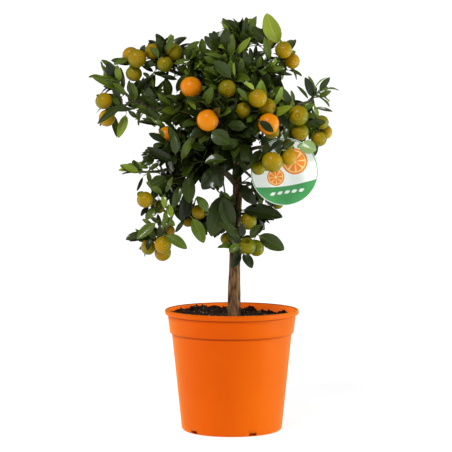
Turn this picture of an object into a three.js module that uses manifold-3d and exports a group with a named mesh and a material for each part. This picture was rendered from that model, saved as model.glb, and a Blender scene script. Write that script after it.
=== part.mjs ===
// A calamondin orange tree, about 0.6 m tall, in fruit and growing in a 19 cm nursery pot.
// Millimetres, +Z up. The origin is the centre of the pot's flat underside.
import * as THREE from 'three';
import * as BufferGeometryUtils from 'three/addons/utils/BufferGeometryUtils.js';
import Module from 'manifold-3d';

const wasm = await Module();
wasm.setup();

// ---------------------------------------------------------------- driving sizes

const CLEAR = 0.3;                 // gap between two solids that touch on the real plant

const POT = {
  height: 172,
  rim: 95,                         // radius of the rolled rim
  rimHeight: 7,
  collarTop: 91,
  collarFoot: 88,
  collarFootHeight: 139,
  bodyTop: 85,
  bodyFoot: 71.5,
  corner: 5,                       // rounding between the body and the underside
  wall: 2,
  floor: 2.5,
  segments: 36,
};
const DRAIN = { count: 8, wide: 9, deep: 14, high: 10, turn: 0.28 };

const SOIL = { level: 162.4, edgeLevel: 156, flatRadius: 22, lump: 3.2, segments: 20 };

// Limbs are rows of [x, y, z, radius] along the middle of the wood, from foot to tip.
const TRUNK = [
  [3, 0, SOIL.level + CLEAR, 11.5], [3, 0, 185, 9.3], [4, 0, 230, 7.9], [5, -1, 270, 7.4],
  [7, -2, 313, 6.9], [8, -2, 341, 6.6], [7, 0, 369, 6.2], [4, 2, 398, 5.8], [2, 4, 426, 5.2],
  [2, 5, 457, 4.5], [4, 4, 491, 3.6], [9, 4, 522, 2.4],
];
const FLARE = { height: 22, swell: 0.22, lobes: 5, lobeDepth: 0.1 };

// Each bough grows out of another limb and ends where it enters its last mass of leaves.
const BOUGHS = {
  left: { from: 'trunk', line: [[4, 2, 395, 4.6], [-25, -4, 429, 4.2], [-59, -12, 444, 3.7],
    [-94, -14, 454, 3.1], [-140, -10, 467, 2.2]] },
  left_high: { from: 'trunk', line: [[2, 5, 451, 4.0], [-22, 6, 479, 3.6], [-48, 2, 493, 3.2],
    [-79, -4, 507, 2.7], [-112, -8, 519, 2.0]] },
  top_right: { from: 'trunk', line: [[2, 5, 465, 3.8], [21, 2, 488, 3.3], [37, -4, 513, 2.8],
    [54, -6, 527, 2.2]] },
  right: { from: 'trunk', line: [[3, 4, 423, 4.4], [31, -8, 437, 3.9], [62, -16, 448, 3.4],
    [90, -14, 460, 2.8], [107, -10, 465, 2.2]] },
  right_low: { from: 'trunk', line: [[7, 0, 361, 4.0], [20, -22, 376, 3.5], [24, -50, 398, 3.0],
    [45, -70, 405, 2.2]] },
  front: { from: 'trunk', line: [[6, 2, 383, 4.2], [0, -26, 401, 3.7], [-5, -50, 421, 3.2],
    [-14, -66, 436, 2.4]] },
  low_left: { from: 'trunk', line: [[7, -1, 350, 4.4], [-14, -14, 370, 3.9], [-39, -20, 384, 3.5],
    [-67, -26, 376, 3.0], [-106, -26, 368, 2.2]] },
  hanging: { from: 'low_left', line: [[-67, -26, 376, 2.6], [-73, -24, 351, 2.4],
    [-79, -24, 320, 2.1], [-90, -26, 291, 1.8]] },
  back_left: { from: 'trunk', line: [[3, 4, 431, 4.0], [-14, 30, 451, 3.4], [-31, 54, 462, 2.4]] },
  back_right: { from: 'trunk', line: [[3, 4, 408, 4.2], [29, 24, 420, 3.6], [48, 46, 430, 2.6]] },
  back: { from: 'trunk', line: [[4, 2, 385, 4.2], [0, 34, 405, 3.6], [-4, 70, 426, 2.6]] },
};

// Each mass of leaves keeps to an ellipsoid of these half widths, and its stem meets its limb.
// tips: where its furthest leaves end, as [x, y, z, width of the leaf].
const MASSES = [
  { name: 'left_high_outer', limb: 'left_high', at: [-136, -18, 525], half: [38, 46, 36],
    tips: [[-116, -10, 550, 12]] },
  { name: 'left_high_inner', limb: 'left_high', at: [-90, -2, 533], half: [34, 40, 28],
    tips: [[-104, -12, 560, 12], [-83, -6, 561, 13]] },
  { name: 'left_far_top', limb: 'left', at: [-166, -8, 496], half: [32, 33, 29],
    tips: [[-197, -12, 499, 14], [-178, -6, 522, 16], [-158, -14, 520, 11], [-150, 0, 526, 12]] },
  { name: 'left_far_low', limb: 'left', at: [-166, -14, 449], half: [32, 36, 40],
    tips: [[-163, -20, 417, 13], [-180, -10, 420, 12]] },
  { name: 'left_middle', limb: 'left', at: [-119, -6, 470], half: [32, 41, 41], tips: [] },
  { name: 'left_inner', limb: 'left_high', at: [-56, -5, 516], half: [37, 53, 34],
    tips: [[-46, -10, 552, 13]] },
  { name: 'left_core', limb: 'left', at: [-67, -38, 460], half: [37, 53, 40], tips: [] },
  { name: 'top_left', limb: 'trunk', at: [-22, -18, 535], half: [29, 46, 36],
    tips: [[-39, -20, 562, 17], [-32, -8, 566, 15]] },
  { name: 'top', limb: 'trunk', at: [12, 4, 555], half: [33, 44, 35],
    tips: [[-13, -6, 578, 12], [-6, 6, 582, 13], [13, 2, 583, 13], [20, -8, 586, 13],
      [29, 6, 584, 13]] },
  { name: 'top_right', limb: 'top_right', at: [50, -8, 547], half: [29, 44, 44],
    tips: [[49, -10, 589, 23], [43, 6, 572, 13]] },
  { name: 'top_outer', limb: 'top_right', at: [80, -8, 526], half: [26, 34, 34],
    tips: [[90, -8, 553, 10], [94, -10, 504, 12]] },
  { name: 'upper_core', limb: 'trunk', at: [-8, -48, 496], half: [41, 52, 39], tips: [] },
  { name: 'upper_right', limb: 'top_right', at: [42, -26, 502], half: [37, 48, 30],
    tips: [[80, -18, 503, 13]] },
  { name: 'right_tip', limb: 'right', at: [120, -4, 478], half: [28, 34, 29],
    tips: [[93, -8, 488, 12], [102, 0, 501, 11], [138, -8, 500, 12], [141, 2, 481, 13],
      [143, -6, 453, 12]] },
  { name: 'right', limb: 'right', at: [91, -22, 443], half: [29, 46, 39],
    tips: [[75, -26, 486, 12]] },
  { name: 'right_outer', limb: 'right', at: [126, -8, 428], half: [29, 44, 37], tips: [] },
  { name: 'right_inner', limb: 'right', at: [40, -62, 454], half: [37, 51, 40], tips: [] },
  { name: 'right_low', limb: 'right_low', at: [65, -76, 400], half: [40, 42, 36],
    tips: [[119, -60, 397, 18]] },
  { name: 'front', limb: 'front', at: [-27, -86, 446], half: [41, 48, 40], tips: [] },
  { name: 'front_low', limb: 'front', at: [8, -72, 415], half: [35, 50, 38], tips: [] },
  { name: 'core_low', limb: 'low_left', at: [-36, -46, 379], half: [41, 53, 41], tips: [] },
  { name: 'low_left_top', limb: 'low_left', at: [-83, -42, 402], half: [40, 51, 36],
    tips: [[-117, -46, 423, 13], [-121, -40, 403, 13]] },
  { name: 'low_left_tip', limb: 'low_left', at: [-132, -22, 367], half: [24, 28, 27],
    tips: [[-154, -22, 376, 13], [-136, -16, 384, 9], [-133, -26, 337, 8]] },
  { name: 'low_left', limb: 'low_left', at: [-92, -34, 351], half: [38, 48, 31], tips: [] },
  { name: 'hanging_top', limb: 'hanging', at: [-113, -28, 320], half: [28, 37, 29], tips: [] },
  { name: 'hanging_foot', limb: 'hanging', at: [-105, -30, 269], half: [42, 34, 27],
    tips: [[-148, -28, 273, 10], [-62, -32, 259, 14]] },
  { name: 'hanging_inner', limb: 'hanging', at: [-52, -22, 308], half: [20, 34, 39],
    tips: [[-37, -26, 265, 18]] },
  { name: 'trunk_left', limb: 'trunk', at: [-15, -34, 309], half: [24, 37, 36],
    tips: [[-27, -40, 278, 25], [-2, -44, 283, 21]] },
  { name: 'trunk_right', limb: 'trunk', at: [44, -22, 306], half: [31, 32, 18],
    tips: [[70, -26, 303, 25]] },
  { name: 'trunk_foot', limb: 'trunk', at: [20, -30, 258], half: [36, 32, 29],
    tips: [[73, -30, 257, 22], [-1, -40, 232, 15], [27, -40, 232, 17]] },
  { name: 'right_under', limb: 'right_low', at: [42, -14, 347], half: [34, 39, 28],
    tips: [[22, -20, 323, 17], [50, -20, 322, 17]] },
  { name: 'back_left', limb: 'back_left', at: [-44, 66, 470], half: [45, 51, 42], tips: [] },
  { name: 'back_top', limb: 'trunk', at: [-8, 56, 513], half: [44, 48, 42], tips: [] },
  { name: 'back_right', limb: 'back_right', at: [60, 64, 450], half: [45, 51, 42], tips: [] },
  { name: 'back', limb: 'back', at: [8, 104, 446], half: [52, 42, 45], tips: [] },
  { name: 'back_low', limb: 'back', at: [-42, 64, 396], half: [45, 48, 40], tips: [] },
  { name: 'back_low_right', limb: 'back_right', at: [44, 58, 390], half: [44, 48, 37], tips: [] },
];
const SHARE = 0.7;                 // free space kept on each side of the wall between two masses

const LEAF = {
  long: 66,
  lengths: [0.8, 1.1],             // shares of long that a full leaf takes
  shortest: 22,                    // a leaf that has less room than this is skipped
  wide: 0.5,                       // width as a share of length
  thick: 1.2,
  shoulders: [0.32, 0.68],         // where along its length its outline has corners
  sunk: 0.5,                       // how deep its root runs into the twig
  outlineWidth: 18,                // a leaf at the crown's outline that is wider is also longer
};
const TWIG = {
  stem: 2.6,                       // radius of the stem of a mass
  stemFoot: 0.65,                  // share of that radius where the stem meets its limb
  radius: 1.25,
  neck: 0.6,                       // share of the radius where a twig is sunk in the stem
  taper: 0.9,                      // share of the radius at the far end
  sunk: 0.15,
  flattest: 0.45,                  // least slope to the stem's side that the sinking allows for
  leaves: 6,
  fewest: 3,                       // a twig with fewer leaves than this isn't grown
  spread: 1.0,                     // angle between a leaf and its twig
  spreads: [0.7, 1.15],            // shares of spread that leaves take
  lastSpread: 0.15,
  swing: 0.35,                     // how far a leaf turns from the middle of its side of the twig
  reach: [0.22, 0.42],             // where a twig ends, from the middle of its mass to the outside
  firstLeaf: 0.4,                  // where along a twig its leaves start
  lastLeaf: 0.95,
  rootShares: [0.3, 0.95],         // where along the stem twigs leave it
  apart: 0.3,
};
const LEAVES = { count: 6.6, size: 29, twigs: 150 };   // a mass of mean half width size has count leaves
const FACING = { lean: 0.5, outward: 0.7, up: 0.75 };  // what the face of a leaf turns to
const EVEN_STEPS = [0.7548776662, 0.569840291];        // the two shares of the R2 even sequence
const SECTION_START = new THREE.Vector3(0.36, -0.48, 0.8);   // a twig's section is turned by this
const STRAIGHT_ON = 0.85;          // a twig this much in line with its stem leaves through the stem's end
const LIMB_GAP = 0.6;              // how far leaves and twigs keep from wood that isn't theirs
const TAG_GAP = 2;                 // and from the tag

const SHORTEST_EDGE = 0.01;        // a join with a shorter edge than this is tried again
const ROUNDING = 0.001;            // corners are compared to this much
const JOIN_ATTEMPTS = 16;
const JOIN_STEP = 0.012;           // how much larger or smaller a piece is made at each new attempt

// Fruit: centre and diameter. eye is the way the scar at its foot points, where it doesn't hang.
const FRUIT = [
  { mass: 'left_high_outer', at: [-142, -6, 531], across: 24 },
  { mass: 'left_high_outer', at: [-132, -34, 526], across: 26, eye: [-0.27, 0.16] },
  { mass: 'left_high_outer', at: [-137, -22, 505], across: 23 },
  { mass: 'left_high_inner', at: [-112, -8, 536], across: 23 },
  { mass: 'left_high_inner', at: [-93, -34, 518], across: 22 },
  { mass: 'left_high_inner', at: [-80, -20, 535], across: 24, eye: [0, 0.12] },
  { mass: 'left_far_low', at: [-179, -26, 467], across: 24 },
  { mass: 'left_far_low', at: [-175, -22, 443], across: 24 },
  { mass: 'left_core', at: [-56, -66, 486], across: 30 },
  { mass: 'front', at: [-33, -108, 441], across: 30, eye: [0, 0.09] },
  { mass: 'upper_core', at: [-7, -82, 484], across: 25, eye: [-0.54, 0.16] },
  { mass: 'right_inner', at: [35, -92, 471], across: 26 },
  { mass: 'right_inner', at: [48, -74, 459], across: 25, eye: [0.56, 0.11] },
  { mass: 'right_inner', at: [15, -78, 454], across: 22, eye: [-0.25, 0.19] },
  { mass: 'right_inner', at: [50, -92, 436], across: 29 },
  { mass: 'right_inner', at: [55, -66, 425], across: 21 },
  { mass: 'right', at: [92, -50, 447], across: 28, eye: [0.4, 0.35] },
  { mass: 'right', at: [95, -40, 424], across: 24 },
  { mass: 'right_outer', at: [126, -18, 437], across: 20 },
  { mass: 'right_outer', at: [132, -2, 423], across: 20 },
  { mass: 'right_outer', at: [122, -24, 414], across: 22 },
  { mass: 'right_low', at: [55, -92, 384], across: 29, eye: [-0.38, 0.05] },
  { mass: 'right_low', at: [78, -80, 390], across: 23 },
  { mass: 'right_low', at: [36, -68, 375], across: 21 },
  { mass: 'hanging_top', at: [-121, -46, 330], across: 23 },
  { mass: 'hanging_foot', at: [-117, -36, 263], across: 22 },
  { mass: 'hanging_foot', at: [-96, -48, 267], across: 24 },
  { mass: 'hanging_foot', at: [-97, -24, 254], across: 24 },
  { mass: 'hanging_foot', at: [-90, -16, 284], across: 20 },
  { mass: 'hanging_inner', at: [-46, -34, 312], across: 21 },
  { mass: 'low_left_top', at: [-91, -62, 421], across: 23 },
  { mass: 'trunk_right', at: [23, -34, 299], across: 24 },
  { mass: 'trunk_foot', at: [21, -46, 265], across: 25 },
  { mass: 'trunk_foot', at: [34, -26, 261], across: 24 },
  { mass: 'top_outer', at: [72, -28, 538], across: 24, eye: [0.4, 0.29] },
  { mass: 'top_outer', at: [84, -12, 523], across: 23 },
  { mass: 'back_left', at: [-66, 84, 462], across: 26 },
  { mass: 'back_left', at: [-36, 98, 480], across: 24 },
  { mass: 'back_top', at: [-14, 86, 522], across: 25 },
  { mass: 'back_right', at: [72, 92, 452], across: 27 },
  { mass: 'back_right', at: [86, 66, 438], across: 24 },
  { mass: 'back', at: [12, 128, 440], across: 28 },
  { mass: 'back', at: [-10, 120, 462], across: 24 },
  { mass: 'back_low', at: [-54, 88, 386], across: 25 },
  { mass: 'back_low_right', at: [50, 86, 384], across: 26 },
];
const FRUIT_FACETS = { around: 7, down: 4 };
const STALK_SUNK = 3;              // how deep a stalk runs into its fruit
const FRUIT_LEAVES = 2;            // leaves on a stalk, and on each twig to the crown's outline
const HANGING_EYE = new THREE.Vector3(0, -0.25, -0.97);

// A round hanging plant tag, tied to the right bough.
const TAG = { at: [73, -45, 369], radius: 47, thick: 1, tab: 5, tabHeight: 10, hole: 2, holeAt: 6 };
const TIE = { bend: 4.8, radius: 0.7, bough: 'right' };

// ---------------------------------------------------------------- small helpers

const vector = ([x, y, z]) => new THREE.Vector3(x, y, z);
const mix = (a, b, share) => a + (b - a) * share;
const between = (a, b, share) => a.clone().lerp(b, share);

/** A repeatable source of numbers from 0 to 1 (the mulberry32 generator). */
function seededRandom(seed) {
  let state = seed >>> 0;
  return () => {
    state = (state + 0x6d2b79f5) >>> 0;
    let t = Math.imul(state ^ (state >>> 15), state | 1);
    t = (t + Math.imul(t ^ (t >>> 7), t | 61)) ^ t;
    return ((t ^ (t >>> 14)) >>> 0) / 4294967296;
  };
}

/** Leaves a geometry with nothing but shared corner points, so that it is one closed surface. */
function closed(geometry) {
  geometry.deleteAttribute('normal');
  geometry.deleteAttribute('uv');
  return BufferGeometryUtils.mergeVertices(geometry, 1e-4);
}

function toSolid(geometry) {
  const shape = closed(geometry);
  const vertProperties = new Float32Array(shape.attributes.position.array);
  const triVerts = new Uint32Array(shape.index.array);
  return new wasm.Manifold(new wasm.Mesh({ numProp: 3, vertProperties, triVerts }));
}

function toGeometry(solid) {
  const mesh = solid.getMesh();
  const points = new Float32Array(mesh.numVert * 3);
  for (let i = 0; i < mesh.numVert; i += 1) {
    for (let k = 0; k < 3; k += 1) points[3 * i + k] = mesh.vertProperties[mesh.numProp * i + k];
  }
  const geometry = new THREE.BufferGeometry();
  geometry.setAttribute('position', new THREE.BufferAttribute(points, 3));
  geometry.setIndex(new THREE.BufferAttribute(new Uint32Array(mesh.triVerts), 1));
  return geometry;
}

/** The one body of a solid that is left when its scraps and sealed hollows are dropped. */
function mainBody(solid) {
  return solid.decompose().reduce((best, body) => (body.volume() > best.volume() ? body : best));
}

/** Whether a solid is still one closed surface, with no tiny edges, once its corners are rounded off. */
function isClean(solid) {
  const { vertProperties, triVerts, numProp } = solid.getMesh();
  const corner = (i) => vertProperties.subarray(numProp * triVerts[i], numProp * triVerts[i] + 3);
  const edges = new Map();
  for (let i = 0; i < triVerts.length; i += 1) {
    const a = corner(i);
    const b = corner(i % 3 === 2 ? i - 2 : i + 1);
    if (Math.hypot(a[0] - b[0], a[1] - b[1], a[2] - b[2]) < SHORTEST_EDGE) return false;
    const ends = [a, b].map((end) => Array.from(end, (place) => Math.round(place / ROUNDING)).join());
    const edge = ends.sort().join(' ');
    edges.set(edge, (edges.get(edge) ?? 0) + 1);
  }
  return [...edges.values()].every((faces) => faces === 2);
}

/**
 * Joins one more piece on to a solid. A join that would leave a sliver is tried again with the piece
 * made a little differently, and in the end the piece is left out, unless it is needed.
 */
function join(whole, makeGeometry, piece, needed) {
  for (let attempt = 0; attempt < JOIN_ATTEMPTS; attempt += 1) {
    const vary = 1 + JOIN_STEP * attempt * (attempt % 2 === 0 ? 1 : -1);
    const joined = whole.add(toSolid(makeGeometry(piece, vary)));
    if (isClean(joined)) return joined;
  }
  return needed ? whole.add(toSolid(makeGeometry(piece, 1))) : whole;
}

/** Shortest distance between the straight runs a-b and c-d. */
function runDistance(a, b, c, d) {
  const u = b.clone().sub(a);
  const v = d.clone().sub(c);
  const w = a.clone().sub(c);
  const uu = Math.max(u.dot(u), 1e-9);
  const vv = Math.max(v.dot(v), 1e-9);
  const uv = u.dot(v);
  const spread = uu * vv - uv * uv;
  let s = spread > 1e-9 ? THREE.MathUtils.clamp((uv * v.dot(w) - vv * u.dot(w)) / spread, 0, 1) : 0;
  const t = THREE.MathUtils.clamp((uv * s + v.dot(w)) / vv, 0, 1);
  s = THREE.MathUtils.clamp((uv * t - u.dot(w)) / uu, 0, 1);
  return a.clone().addScaledVector(u, s).distanceTo(c.clone().addScaledVector(v, t));
}

// ---------------------------------------------------------------- limbs

/** A limb's middle line and its radius at a share from 0 (foot) to 1 (tip). */
function limbLine(rows) {
  const curve = new THREE.CatmullRomCurve3(rows.map(vector), false, 'catmullrom', 0.5);
  const radiusAt = (share) => {
    const step = Math.min(share * (rows.length - 1), rows.length - 1 - 1e-9);
    const row = Math.floor(step);
    return mix(rows[row][3], rows[row + 1][3], step - row);
  };
  return { curve, radiusAt, rows };
}

/** A tapering limb: a cylinder bent along the middle line, with a flat foot and a domed tip. */
function limbGeometry(line, { sides, steps, extra = 0, swell = () => 1 }) {
  const geometry = new THREE.CylinderGeometry(1, 1, 1, sides, steps);
  const place = geometry.attributes.position;
  const chord = line.curve.getPoint(1).sub(line.curve.getPoint(0)).normalize();
  const reference = Math.abs(chord.z) > 0.8 ? new THREE.Vector3(1, 0, 0) : new THREE.Vector3(0, 0, 1);
  for (let i = 0; i < place.count; i += 1) {
    const share = place.getY(i) + 0.5;
    const along = line.curve.getTangent(share);
    const across = reference.clone().addScaledVector(along, -reference.dot(along)).normalize();
    const third = along.clone().cross(across);
    const angle = Math.atan2(place.getZ(i), place.getX(i));
    const ring = Math.hypot(place.getX(i), place.getZ(i));
    const radius = (line.radiusAt(share) + extra) * ring * swell(share, angle);
    const point = line.curve.getPoint(share);
    point.addScaledVector(across, radius * Math.cos(angle)).addScaledVector(third, radius * Math.sin(angle));
    if (ring < 0.5 && share > 0.5) point.addScaledVector(along, line.radiusAt(1) + extra);
    place.setXYZ(i, point.x, point.y, point.z);
  }
  // the bend above turns the cylinder inside out, so each face is turned back
  const faces = geometry.index.array;
  for (let i = 0; i < faces.length; i += 3) [faces[i], faces[i + 1]] = [faces[i + 1], faces[i]];
  return geometry;
}

const limbs = { trunk: { line: limbLine(TRUNK), from: null, sides: 12, steps: 12 } };
for (const [name, bough] of Object.entries(BOUGHS)) {
  const steps = bough.line.length;
  limbs[name] = { line: limbLine(bough.line), from: bough.from, sides: 6, steps };
}
for (const limb of Object.values(limbs)) {
  const count = 4 * limb.steps;
  limb.runs = Array.from({ length: count }, (_, i) => ({
    a: limb.line.curve.getPoint(i / count),
    b: limb.line.curve.getPoint((i + 1) / count),
    radius: limb.line.radiusAt(i / count),
  }));
}

/** Where a limb passes a given x, and how thick it is there. */
function limbAtX(name, x) {
  const { line } = limbs[name];
  const shares = Array.from({ length: 400 }, (_, i) => i / 399);
  const off = (share) => Math.abs(line.curve.getPoint(share).x - x);
  const share = shares.reduce((best, next) => (off(next) < off(best) ? next : best));
  return { point: line.curve.getPoint(share), radius: line.radiusAt(share) };
}
const tieTop = limbAtX(TIE.bough, TAG.at[0]).point;

/** The trunk swells into rounded roots where it meets the soil. */
function trunkSwell(share, angle) {
  const height = share * (TRUNK.at(-1)[2] - TRUNK[0][2]);
  const near = Math.exp(-((height / FLARE.height) ** 2));
  return 1 + near * (FLARE.swell + FLARE.lobeDepth * Math.sin(FLARE.lobes * angle + 0.7));
}

function limbSolid(name, extra = 0) {
  const { line, sides, steps } = limbs[name];
  const swell = name === 'trunk' ? trunkSwell : undefined;
  return toSolid(limbGeometry(line, { sides, steps, extra, swell }));
}

/** A bough is cut to the side of the limb that it grows from. */
function boughSolid(name) {
  return mainBody(limbSolid(name).subtract(limbSolid(limbs[name].from, CLEAR)));
}

// ---------------------------------------------------------------- the space of each mass

const masses = MASSES.map((row, index) => ({
  ...row,
  seed: 101 + 37 * index,
  centre: vector(row.at),
  size: vector(row.half),
  fruit: FRUIT.filter((fruit) => fruit.mass === row.name),
}));

/** How far a mass reaches from its centre in one direction. */
function reachAlong(mass, direction) {
  return direction.clone().multiply(mass.size).length();
}

/** The flat wall between two masses: past neither one's fruit, and else halfway by their size. */
function wallBetween(mass, other) {
  const normal = other.centre.clone().sub(mass.centre).normalize();
  const start = normal.dot(mass.centre);
  const end = normal.dot(other.centre);
  let at = mix(start, end, reachAlong(mass, normal) / (reachAlong(mass, normal) + reachAlong(other, normal)));
  for (const fruit of mass.fruit) {
    at = Math.max(at, normal.dot(vector(fruit.at)) + fruit.across / 2 + 1.5 * SHARE);
  }
  for (const fruit of other.fruit) {
    at = Math.min(at, normal.dot(vector(fruit.at)) - fruit.across / 2 - 1.5 * SHARE);
  }
  return { normal, at };
}

for (const mass of masses) {
  mass.walls = masses.filter((other) => other !== mass).map((other) => {
    // both masses ask the one that comes first, so that they share a single wall
    if (masses.indexOf(mass) < masses.indexOf(other)) return wallBetween(mass, other);
    const wall = wallBetween(other, mass);
    return { normal: wall.normal.negate(), at: -wall.at };
  });
}

function insideWalls(mass, point) {
  return mass.walls.every((wall) => wall.normal.dot(point) < wall.at - SHARE);
}

function insideSpace(mass, point) {
  return insideWalls(mass, point) && point.clone().sub(mass.centre).divide(mass.size).length() <= 1;
}

/** How far one can go from a point in a direction before leaving the mass's space. */
function wayOut(mass, point, direction) {
  const p = point.clone().sub(mass.centre).divide(mass.size);
  const d = direction.clone().divide(mass.size);
  const half = p.dot(d) / d.dot(d);
  let way = -half + Math.sqrt(Math.max(0, half * half - (p.dot(p) - 1) / d.dot(d)));
  for (const wall of mass.walls) {
    const slope = wall.normal.dot(direction);
    if (slope > 1e-6) way = Math.min(way, (wall.at - SHARE - wall.normal.dot(point)) / slope);
  }
  return way;
}

// ---------------------------------------------------------------- what growth keeps clear of

/** The straight runs that stand for a leaf when it is tested: its outline and its midrib. */
function leafRuns({ base, rim, tip }) {
  const loop = [base, ...rim, base];
  return [...loop.slice(1).map((point, i) => [loop[i], point]), [base, tip]];
}

/** Whether the run a-b passes through the leaf's blade. */
function pierces(a, b, { base, rim }) {
  const run = b.clone().sub(a);
  const length = run.length();
  const ray = new THREE.Ray(a, run.divideScalar(length));
  return rim.slice(1).some((point, i) => {
    const hit = ray.intersectTriangle(base, rim[i], point, false, new THREE.Vector3());
    return hit !== null && hit.distanceTo(a) <= length;
  });
}

function leafTouchesRun(leaf, a, b, gap) {
  return leafRuns(leaf).some(([c, d]) => runDistance(a, b, c, d) < gap) || pierces(a, b, leaf);
}

function leavesCross(one, two) {
  return leafRuns(one).some(([a, b]) => pierces(a, b, two))
    || leafRuns(two).some(([a, b]) => pierces(a, b, one));
}

/** The wood that a mass's own growth could meet: limbs, and the stems of other masses. */
function woodNear(mass) {
  const stems = masses.filter((other) => other !== mass).map((other) => other.stem);
  const runs = [...Object.values(limbs).flatMap((limb) => limb.runs), ...stems];
  const reach = Math.max(...mass.half) + LEAF.long;
  return runs.filter((run) => runDistance(mass.centre, mass.centre, run.a, run.b) < reach);
}

function runTouchesWood(mass, a, b, radius) {
  return mass.wood.some((run) => runDistance(a, b, run.a, run.b) < run.radius + radius + LIMB_GAP);
}

function leafTouchesWood(mass, leaf) {
  return mass.wood.some((run) => leafTouchesRun(leaf, run.a, run.b, run.radius + LIMB_GAP));
}

/** Whether the run a-b comes near the tag or its tie. */
function runTouchesTag(a, b, gap) {
  const [x, y, z] = TAG.at;
  const tieFoot = new THREE.Vector3(x, y, z + TAG.radius);
  if (runDistance(a, b, tieFoot, tieTop) < TIE.bend + gap + 1) return true;
  const cross = Math.abs(b.y - a.y) < 1e-6 ? 0 : THREE.MathUtils.clamp((y - a.y) / (b.y - a.y), 0, 1);
  const point = between(a, b, cross);
  return Math.abs(point.y - y) < gap + TAG.thick && Math.hypot(point.x - x, point.z - z) < TAG.radius + gap;
}

function leafTouchesTag(leaf) {
  const ribs = leaf.rim.map((point) => [leaf.middle, point]);
  return [...leafRuns(leaf), ...ribs].some(([a, b]) => runTouchesTag(a, b, TAG_GAP));
}

// ---------------------------------------------------------------- twigs, leaves and fruit

/** The stem runs to the middle of the mass from just clear of the nearest point of its limb. */
function placeStem(mass) {
  const feet = limbs[mass.limb].runs.map((run) => ({
    point: new THREE.Line3(run.a, run.b).closestPointToPoint(mass.centre, true, new THREE.Vector3()),
    along: run.b.clone().sub(run.a).normalize(),
    radius: run.radius,
  }));
  const away = (foot) => foot.point.distanceTo(mass.centre);
  const foot = feet.reduce((best, next) => (away(next) < away(best) ? next : best));
  const direction = mass.centre.clone().sub(foot.point).normalize();
  const onwards = Math.max(0, direction.dot(foot.along));    // over 0 only at the limb's cone-shaped tip
  const surface = foot.radius / (onwards + Math.sqrt(1 - onwards * onwards));
  mass.stem = {
    a: foot.point.addScaledVector(direction, surface + CLEAR),
    b: mass.centre.clone(),
    radius: TWIG.stem,
    neck: TWIG.stemFoot,
  };
}

/** A leaf lies along its direction, with its face turned up and outwards as far as that allows. */
function leafShape(base, tip, width, facing) {
  const along = tip.clone().sub(base);
  const length = along.length();
  along.divideScalar(length);
  const normal = facing.clone().addScaledVector(along, -facing.dot(along)).normalize();
  const side = along.clone().cross(normal);
  const at = (share, sideways) => base.clone()
    .addScaledVector(along, length * share)
    .addScaledVector(side, (width / 2) * sideways);
  const [near, far] = LEAF.shoulders;
  const rim = [at(near, 1), at(far, 1), tip, at(far, -1), at(near, -1)];
  return { base, tip, rim, middle: at((near + far) / 2, 0), normal };
}

/** The way the leaves of a mass turn their faces: up, and out from the trunk. */
function facingOf(mass, lean) {
  const outward = new THREE.Vector3(mass.centre.x, mass.centre.y, 0).normalize();
  const facing = lean.clone().multiplyScalar(FACING.lean).addScaledVector(outward, FACING.outward);
  return facing.add(new THREE.Vector3(0, 0, FACING.up));
}

/** Keeps a leaf unless it would leave the mass's space or touch wood, fruit or another leaf. */
function keepLeaf(mass, leaf, twig, isTip) {
  const inside = isTip ? insideWalls : insideSpace;
  if (!leaf.rim.every((point) => inside(mass, point))) return false;
  if (leafTouchesWood(mass, leaf) || leafTouchesTag(leaf)) return false;
  const blade = { ...leaf, base: between(leaf.base, leaf.tip, 0.12) };
  if (mass.fruit.some((fruit) => leafTouchesRun(blade, fruit.centre, fruit.centre, fruit.across / 2 + 1))) {
    return false;
  }
  if (mass.leaves.some((other) => leavesCross(blade, other.blade))) return false;
  const touches = (other) => leafTouchesRun(blade, other.a, other.b, other.radius + TWIG.apart);
  if (mass.twigs.some((other) => other !== twig && touches(other))) return false;
  mass.leaves.push({ ...leaf, blade });
  return true;
}

function twigIsFree(mass, twig) {
  if (!insideWalls(mass, twig.b) || runTouchesWood(mass, twig.a, twig.b, twig.radius)) return false;
  if (runTouchesTag(twig.a, twig.b, TAG_GAP + twig.radius)) return false;
  return !mass.leaves.some((leaf) => leafTouchesRun(leaf.blade, twig.a, twig.b, twig.radius + TWIG.apart));
}

/** The directions that a stick's section is laid out by: along it, and two across it. */
function stickAxes({ a, b }) {
  const along = b.clone().sub(a).normalize();
  const across = SECTION_START.clone().cross(along).normalize();
  return { along, across, third: along.clone().cross(across) };
}

/** The way that one of a stick's three sides faces. */
function sideOf(stick, index) {
  const { across, third } = stickAxes(stick);
  const angle = (Math.PI * (2 * index + 1)) / 3;
  return across.multiplyScalar(Math.cos(angle)).addScaledVector(third, Math.sin(angle));
}

/** A point on the middle line of one of a stick's sides. */
function seatOn(stick, share, side) {
  const depth = (stick.radius * mix(1, TWIG.taper, share)) / 2;
  return between(stick.a, stick.b, share).addScaledVector(side, depth);
}

/** Where a twig to this point starts: sunk in the side of the stem that looks that way. */
function rootFor(mass, end, share) {
  const out = end.clone().sub(mass.centre).normalize();
  if (out.dot(stickAxes(mass.stem).along) > STRAIGHT_ON) return between(mass.stem.a, mass.stem.b, share);
  const sides = [0, 1, 2].map((index) => sideOf(mass.stem, index));
  const side = sides.reduce((best, next) => (next.dot(out) > best.dot(out) ? next : best));
  const seat = seatOn(mass.stem, share, side);
  const way = end.clone().sub(seat).normalize();
  const slope = Math.max(TWIG.flattest, way.dot(side));
  const sunk = (TWIG.radius * TWIG.neck * Math.sqrt(1 - slope * slope) + TWIG.sunk) / slope;
  return seat.addScaledVector(way, -sunk);
}

/** How far along the stem a twig leaves it: those that lead forwards start nearest its end. */
function shareFor(mass, out) {
  return mix(...TWIG.rootShares, (1 + out.dot(stickAxes(mass.stem).along)) / 2);
}

/** How far along the stem its nearest point to another lies, short of its ends. */
function shareNear(stem, point) {
  const share = new THREE.Line3(stem.a, stem.b).closestPointToPointParameter(point, true);
  return THREE.MathUtils.clamp(share, TWIG.rootShares[0] / 2, TWIG.rootShares[1]);
}

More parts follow.
